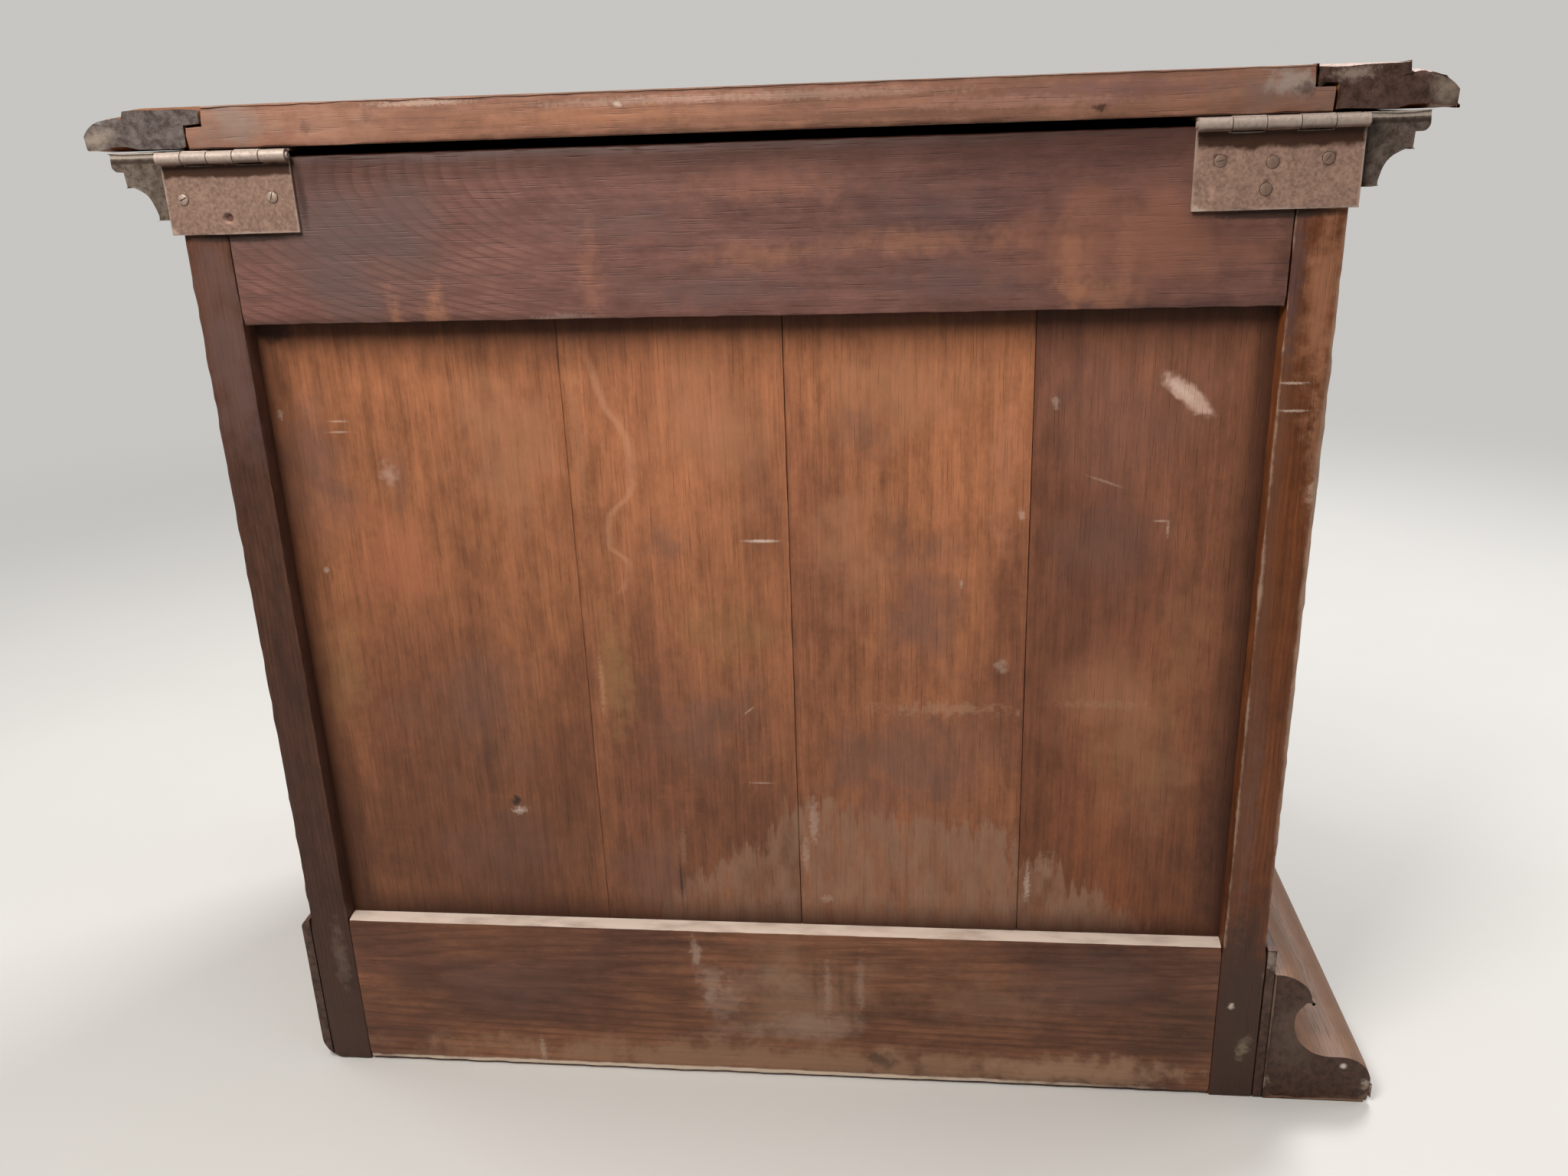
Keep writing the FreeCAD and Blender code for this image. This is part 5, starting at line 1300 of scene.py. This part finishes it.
class MULECHEST_OT_inside(ChestPiece, bpy.types.Operator):
    """Floor boards, ledger, runners and pegs"""

    bl_idname = "mulechest.inside"
    bl_label = "Inside and pegs"

    def dress(self, sizes, colours):
        """Gives the plain inner pieces their bare oak."""
        runners = [f"drawer_runner_{place}" for place in (*SIDES, "centre")]
        for number, node in enumerate(("chest_floor_boards", "floor_ledger", "joint_pegs", *runners)):
            tone = toned(colours.waxed, 0.7) if node == "joint_pegs" else colours.inner
            grain = RAIL_GRAIN if node == "floor_ledger" else CLEAT_GRAIN
            paint_node(node, oak(node, grain, tone, seed=100.0 + number, rough=0.6))


# Size of the mesh on a hinge leaf, and how far wear reaches from its arrises
LEAF_PITCH = 0.006
LEAF_REACH = 0.003
# Thickness of a case leaf, how far below its top the barrel's painted highlight ends and the rust and
# painted shadow lie, and how soft that end is
LEAF_THICK = 0.003
LIT_BARREL_DROP = 0.0075
RUST_AND_SHADOW_DROP = 0.0145
LIT_BARREL_BLUR = 0.0020
# Coat of the screws, the width of their slots, and how deep their heads go into the leaf
SCREW_TONE = (0.40, 0.30, 0.24)
SLOT_WIDTH = 0.0011
SCREW_SINK = 0.0004
# Across, up and turn of the slot of each screw in a case leaf
SCREW_PLACES = ((0.431, 0.8164, 0.4), (0.359, 0.8164, 1.3), (-0.420, 0.8218, 0.9), (-0.3821, 0.8201, 2.2),
                (-0.346, 0.8218, 0.2), (-0.379, 0.8018, 1.7))
# How rusted each hinge is, how pale its coat is, and the half height of the band of rust and painted shadow
# under its barrel
HINGE_RUST = {"left": (0.05, 1.3, 0.0095), "right": (0.0, 1.0, 0.0060)}
# How far the left hinge's screws stand out, against those on the right
SUNK_SHARE = 0.45


class MULECHEST_OT_hinges(ChestPiece, bpy.types.Operator):
    """Butt hinges, their pins and screws"""

    bl_idname = "mulechest.hinges"
    bl_label = "Hinges"

    def dress(self, sizes, colours):
        """Models the leaves from their nodes, and new screw heads on them."""
        irons = {}
        for side, (rusted, pale, band) in HINGE_RUST.items():
            spots = self.leaf_marks(side, band, colours.rust)
            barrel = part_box(f"hinge_{side}_case_leaf")[1].z - LIT_BARREL_DROP
            coats = {"case": toned(colours.iron, pale), "lid": toned(colours.iron, 0.55)}
            irons[side, "case"] = old_iron(f"hinge_{side}_iron", coats["case"], rusted, spots, barrel)
            irons[side, "lid"] = old_iron(f"hinge_{side}_lid_iron", coats["lid"], rusted + 0.08, (), barrel)
            for owner in ("case", "lid"):
                node = f"hinge_{side}_{owner}_leaf"
                piece = copy_piece(node)
                segments = ease(piece, sizes.fine_ease, LEAF_EDGE)
                slice_up(piece, AXES, LEAF_PITCH)
                mark(piece, "arris", near_segments(points_of(piece), segments), LEAF_REACH)
                wear_away(piece, sizes.wobble, sizes.wobble_size / 3)
                finish_piece(piece, owner, node, irons[side, owner])
        paint_node("hinge_pins", irons["left", "case"])
        paint_node("lid_hinge_screws", irons["left", "lid"])
        dulled = Spot(-0.386, 0.812, 0.2, 0.2, toned(colours.iron, 0.75), 0.9)
        self.make_screws(sizes, old_iron("screw_iron", SCREW_TONE, 0.0, (dulled,)))

    def leaf_marks(self, side, band, rust):
        """Rust and painted shadow under a case leaf's barrel, painted shade along its lower edge, and rust
        about the left hinge's screws.
        """
        low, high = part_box(f"hinge_{side}_case_leaf")
        middle = (low.x + high.x) / 2
        # Rust with painted shadow in a band under the barrel, and painted shade along the leaf's lower edge
        spots = [Spot(middle, high.z - RUST_AND_SHADOW_DROP, 0.25, band, toned(rust, 0.4), 0.97, ragged=0.5, grain=70.0,
                      soft=0.5), Spot(middle, low.z, 0.10, 0.0020, SOOT_AND_SHADE, 0.4)]
        if side == "left":
            spots += [Spot(x, z, 0.0068, 0.0068, toned(rust, 0.6), 0.8) for x, z, _ in SCREW_PLACES if x < 0]
        return spots

    def slotted_head(self, sizes):
        """One domed screw head with a slot."""
        head = new_piece("case_hinge_screws_worn", bpy.ops.mesh.primitive_uv_sphere_add, segments=28,
                         ring_count=14, radius=sizes.screw_radius,
                         scale=(1.0, sizes.screw_rise / sizes.screw_radius, 1.0))
        edit(head)
        bpy.ops.mesh.bisect(plane_co=(0.0, -SCREW_SINK, 0.0), plane_no=(0.0, 1.0, 0.0), clear_inner=True,
                            use_fill=True)
        done()
        slot_bar = new_piece("screw_slot_bar", bpy.ops.mesh.primitive_cube_add, size=1.0,
                             location=(0.0, sizes.screw_rise, 0.0),
                             scale=(3 * sizes.screw_radius, 1.3 * sizes.screw_rise, SLOT_WIDTH))
        pick(head)
        modifier = head.modifiers.new("slot", "BOOLEAN")
        modifier.object = slot_bar
        modifier.operation = "DIFFERENCE"
        bpy.ops.object.modifier_apply(modifier=modifier.name)
        bpy.data.objects.remove(slot_bar)
        return head

    def make_screws(self, sizes, material):
        """A head at each place where a screw holds a case leaf, all in one piece."""
        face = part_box("hinge_right_case_leaf")[0].y + LEAF_THICK
        head = self.slotted_head(sizes)
        heads = [head]
        for _ in SCREW_PLACES[1:]:
            copy = head.copy()
            copy.data = head.data.copy()
            bpy.context.scene.collection.objects.link(copy)
            heads.append(copy)
        for item, (x, z, turn) in zip(heads, SCREW_PLACES):
            sunk = Matrix.Diagonal((1.0, 1.0 if x > 0 else SUNK_SHARE, 1.0, 1.0))
            item.data.transform(Matrix.Translation((x, face, z)) @ sunk @ Matrix.Rotation(turn, 4, "Y"))
        pick(head)
        for copy in heads:
            copy.select_set(True)
        bpy.ops.object.join()
        finish_piece(head, "case", "case_hinge_screws", material)


WHITE = (1.0, 1.0, 1.0)
# Name, place, aim, size, power and tint of each light
LIGHTS = (
    ("key", (0.5, 1.15, 1.75), (0.0, 0.27, 0.60), 0.6, 28.5, (1.0, 0.955, 0.90)),
    ("top", (0.0, 0.1, 3.0), (0.0, 0.1, 0.0), 2.4, 36.0, WHITE),
    ("front_key", (-1.3, -2.0, 2.8), (0.0, -0.25, 0.45), 1.2, 90.0, WHITE),
    ("left_side", (-2.6, -0.5, 1.6), (-0.4, 0.0, 0.45), 1.2, 22.0, WHITE),
    ("right_side", (2.6, -0.5, 1.6), (0.4, 0.0, 0.45), 1.2, 22.0, WHITE),
)
# The floor's width, and where it fades into the backdrop
FLOOR_WIDTH = 16.0
FLOOR_FADE = (1.0, 3.2)
# Light that the backdrop gives, and how much brighter the camera sees it
BACKDROP_LIGHT = 0.12
BACKDROP_SEEN = 0.80


class MULECHEST_OT_stage(ChestPiece, bpy.types.Operator):
    """Pale floor, soft lights and the camera"""

    bl_idname = "mulechest.stage"
    bl_label = "Stage"

    def dress(self, sizes, colours):
        """Sets the floor, the lights and the camera."""
        floor = new_piece("studio_floor", bpy.ops.mesh.primitive_plane_add, size=FLOOR_WIDTH)
        material, s, principled, coordinates = start_material("studio_floor_paint")
        cloud = s.noise(coordinates["Object"], (3.0, 3.0, 3.0), detail=3.0)
        paint = s.mix(cloud, colours.floor, toned(colours.floor, 0.94))
        s.feed(principled.inputs["Base Color"], paint)
        principled.inputs["Roughness"].default_value = 0.8
        principled.inputs["Specular IOR Level"].default_value = 0.1
        away = s.vector("LENGTH", coordinates["Object"])
        s.feed(principled.inputs["Alpha"], s.span(away, *FLOOR_FADE, 1.0, 0.0))
        floor.data.materials.append(material)
        for light in LIGHTS:
            soft_light(*light)
        world = bpy.data.worlds.new("studio")
        world.use_nodes = True
        bpy.context.scene.world = world
        s = Shader(world.node_tree)
        backdrop = world.node_tree.nodes["Background"]
        backdrop.inputs["Color"].default_value = (*colours.backdrop, 1.0)
        seen = s.node("ShaderNodeLightPath").outputs["Is Camera Ray"]
        s.feed(backdrop.inputs["Strength"], s.add(BACKDROP_LIGHT, s.times(seen, BACKDROP_SEEN)))
        bpy.context.scene.view_settings.view_transform = "Standard"
        place_camera()


def soft_light(name, place, aim, size, power, tint):
    """A square soft light that looks at a point."""
    bpy.ops.object.light_add(type="AREA", location=place)
    light = bpy.context.object
    light.name = name
    light.data.size = size
    light.data.energy = power
    light.data.color = tint
    light.rotation_euler = (Vector(aim) - Vector(place)).to_track_quat("-Z", "Y").to_euler()


# The photograph's camera: place in metres, angles in degrees, focal length in pixels of the frame's width
CAMERA_PLACE = (-0.1366, 1.2792, 0.8659)
CAMERA_YAW = 6.426
CAMERA_PITCH = 20.148
CAMERA_ROLL = -2.026
FOCAL_PIXELS = 1700.0
FRAME_PIXELS = 2048.0
SENSOR_MILLIMETRES = 36.0


def place_camera():
    """Stands the camera behind the chest, a little above the lid's edge."""
    yaw, pitch, roll = (math.radians(item) for item in (CAMERA_YAW, CAMERA_PITCH, CAMERA_ROLL))
    right = Vector((-math.cos(yaw), -math.sin(yaw), 0.0))
    ahead = Vector((math.sin(yaw) * math.cos(pitch), -math.cos(yaw) * math.cos(pitch), -math.sin(pitch)))
    up = right.cross(ahead)
    tilted = right * math.cos(roll) + up * math.sin(roll)
    upright = up * math.cos(roll) - right * math.sin(roll)
    bpy.ops.object.camera_add(location=CAMERA_PLACE)
    camera = bpy.context.object
    camera.name = "camera"
    camera.data.sensor_width = SENSOR_MILLIMETRES
    camera.data.lens = FOCAL_PIXELS / FRAME_PIXELS * SENSOR_MILLIMETRES
    camera.data.clip_start = 0.01
    camera.matrix_world = Matrix.LocRotScale(
        Vector(CAMERA_PLACE), Matrix((tilted, upright, -ahead)).transposed().to_quaternion(), None)
    bpy.context.scene.camera = camera


class MULECHEST_PT_sidebar(bpy.types.Panel):
    """Lists the chest's pieces, sizes and colours"""

    bl_idname = "MULECHEST_PT_sidebar"
    bl_label = "Mule Chest"
    bl_space_type = "VIEW_3D"
    bl_region_type = "UI"
    bl_category = "Mule Chest"

    def draw(self, context):
        """Draws the buttons and the settings."""
        for operator in PIECES:
            self.layout.operator(operator.bl_idname)
        for group in (context.scene.mule_chest_sizes, context.scene.mule_chest_colours):
            for name in group.__annotations__:
                self.layout.prop(group, name)


PIECES = (
    MULECHEST_OT_back_boards,
    MULECHEST_OT_frame_members,
    MULECHEST_OT_panels,
    MULECHEST_OT_mouldings,
    MULECHEST_OT_lid,
    MULECHEST_OT_drawers,
    MULECHEST_OT_inside,
    MULECHEST_OT_hinges,
    MULECHEST_OT_stage,
)
CLASSES = (MuleChestSizes, MuleChestColours, *PIECES, MULECHEST_PT_sidebar)


def register():
    """Adds the chest's classes and settings."""
    for item in CLASSES:
        bpy.utils.register_class(item)
    bpy.types.Scene.mule_chest_sizes = PointerProperty(type=MuleChestSizes)
    bpy.types.Scene.mule_chest_colours = PointerProperty(type=MuleChestColours)


def unregister():
    """Takes the chest's classes and settings away."""
    del bpy.types.Scene.mule_chest_colours
    del bpy.types.Scene.mule_chest_sizes
    for item in reversed(CLASSES):
        bpy.utils.unregister_class(item)


def main():
    """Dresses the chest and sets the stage."""
    register()
    for operator in PIECES:
        group, name = operator.bl_idname.split(".")
        getattr(getattr(bpy.ops, group), name)()


if __name__ == "__main__":
    main()
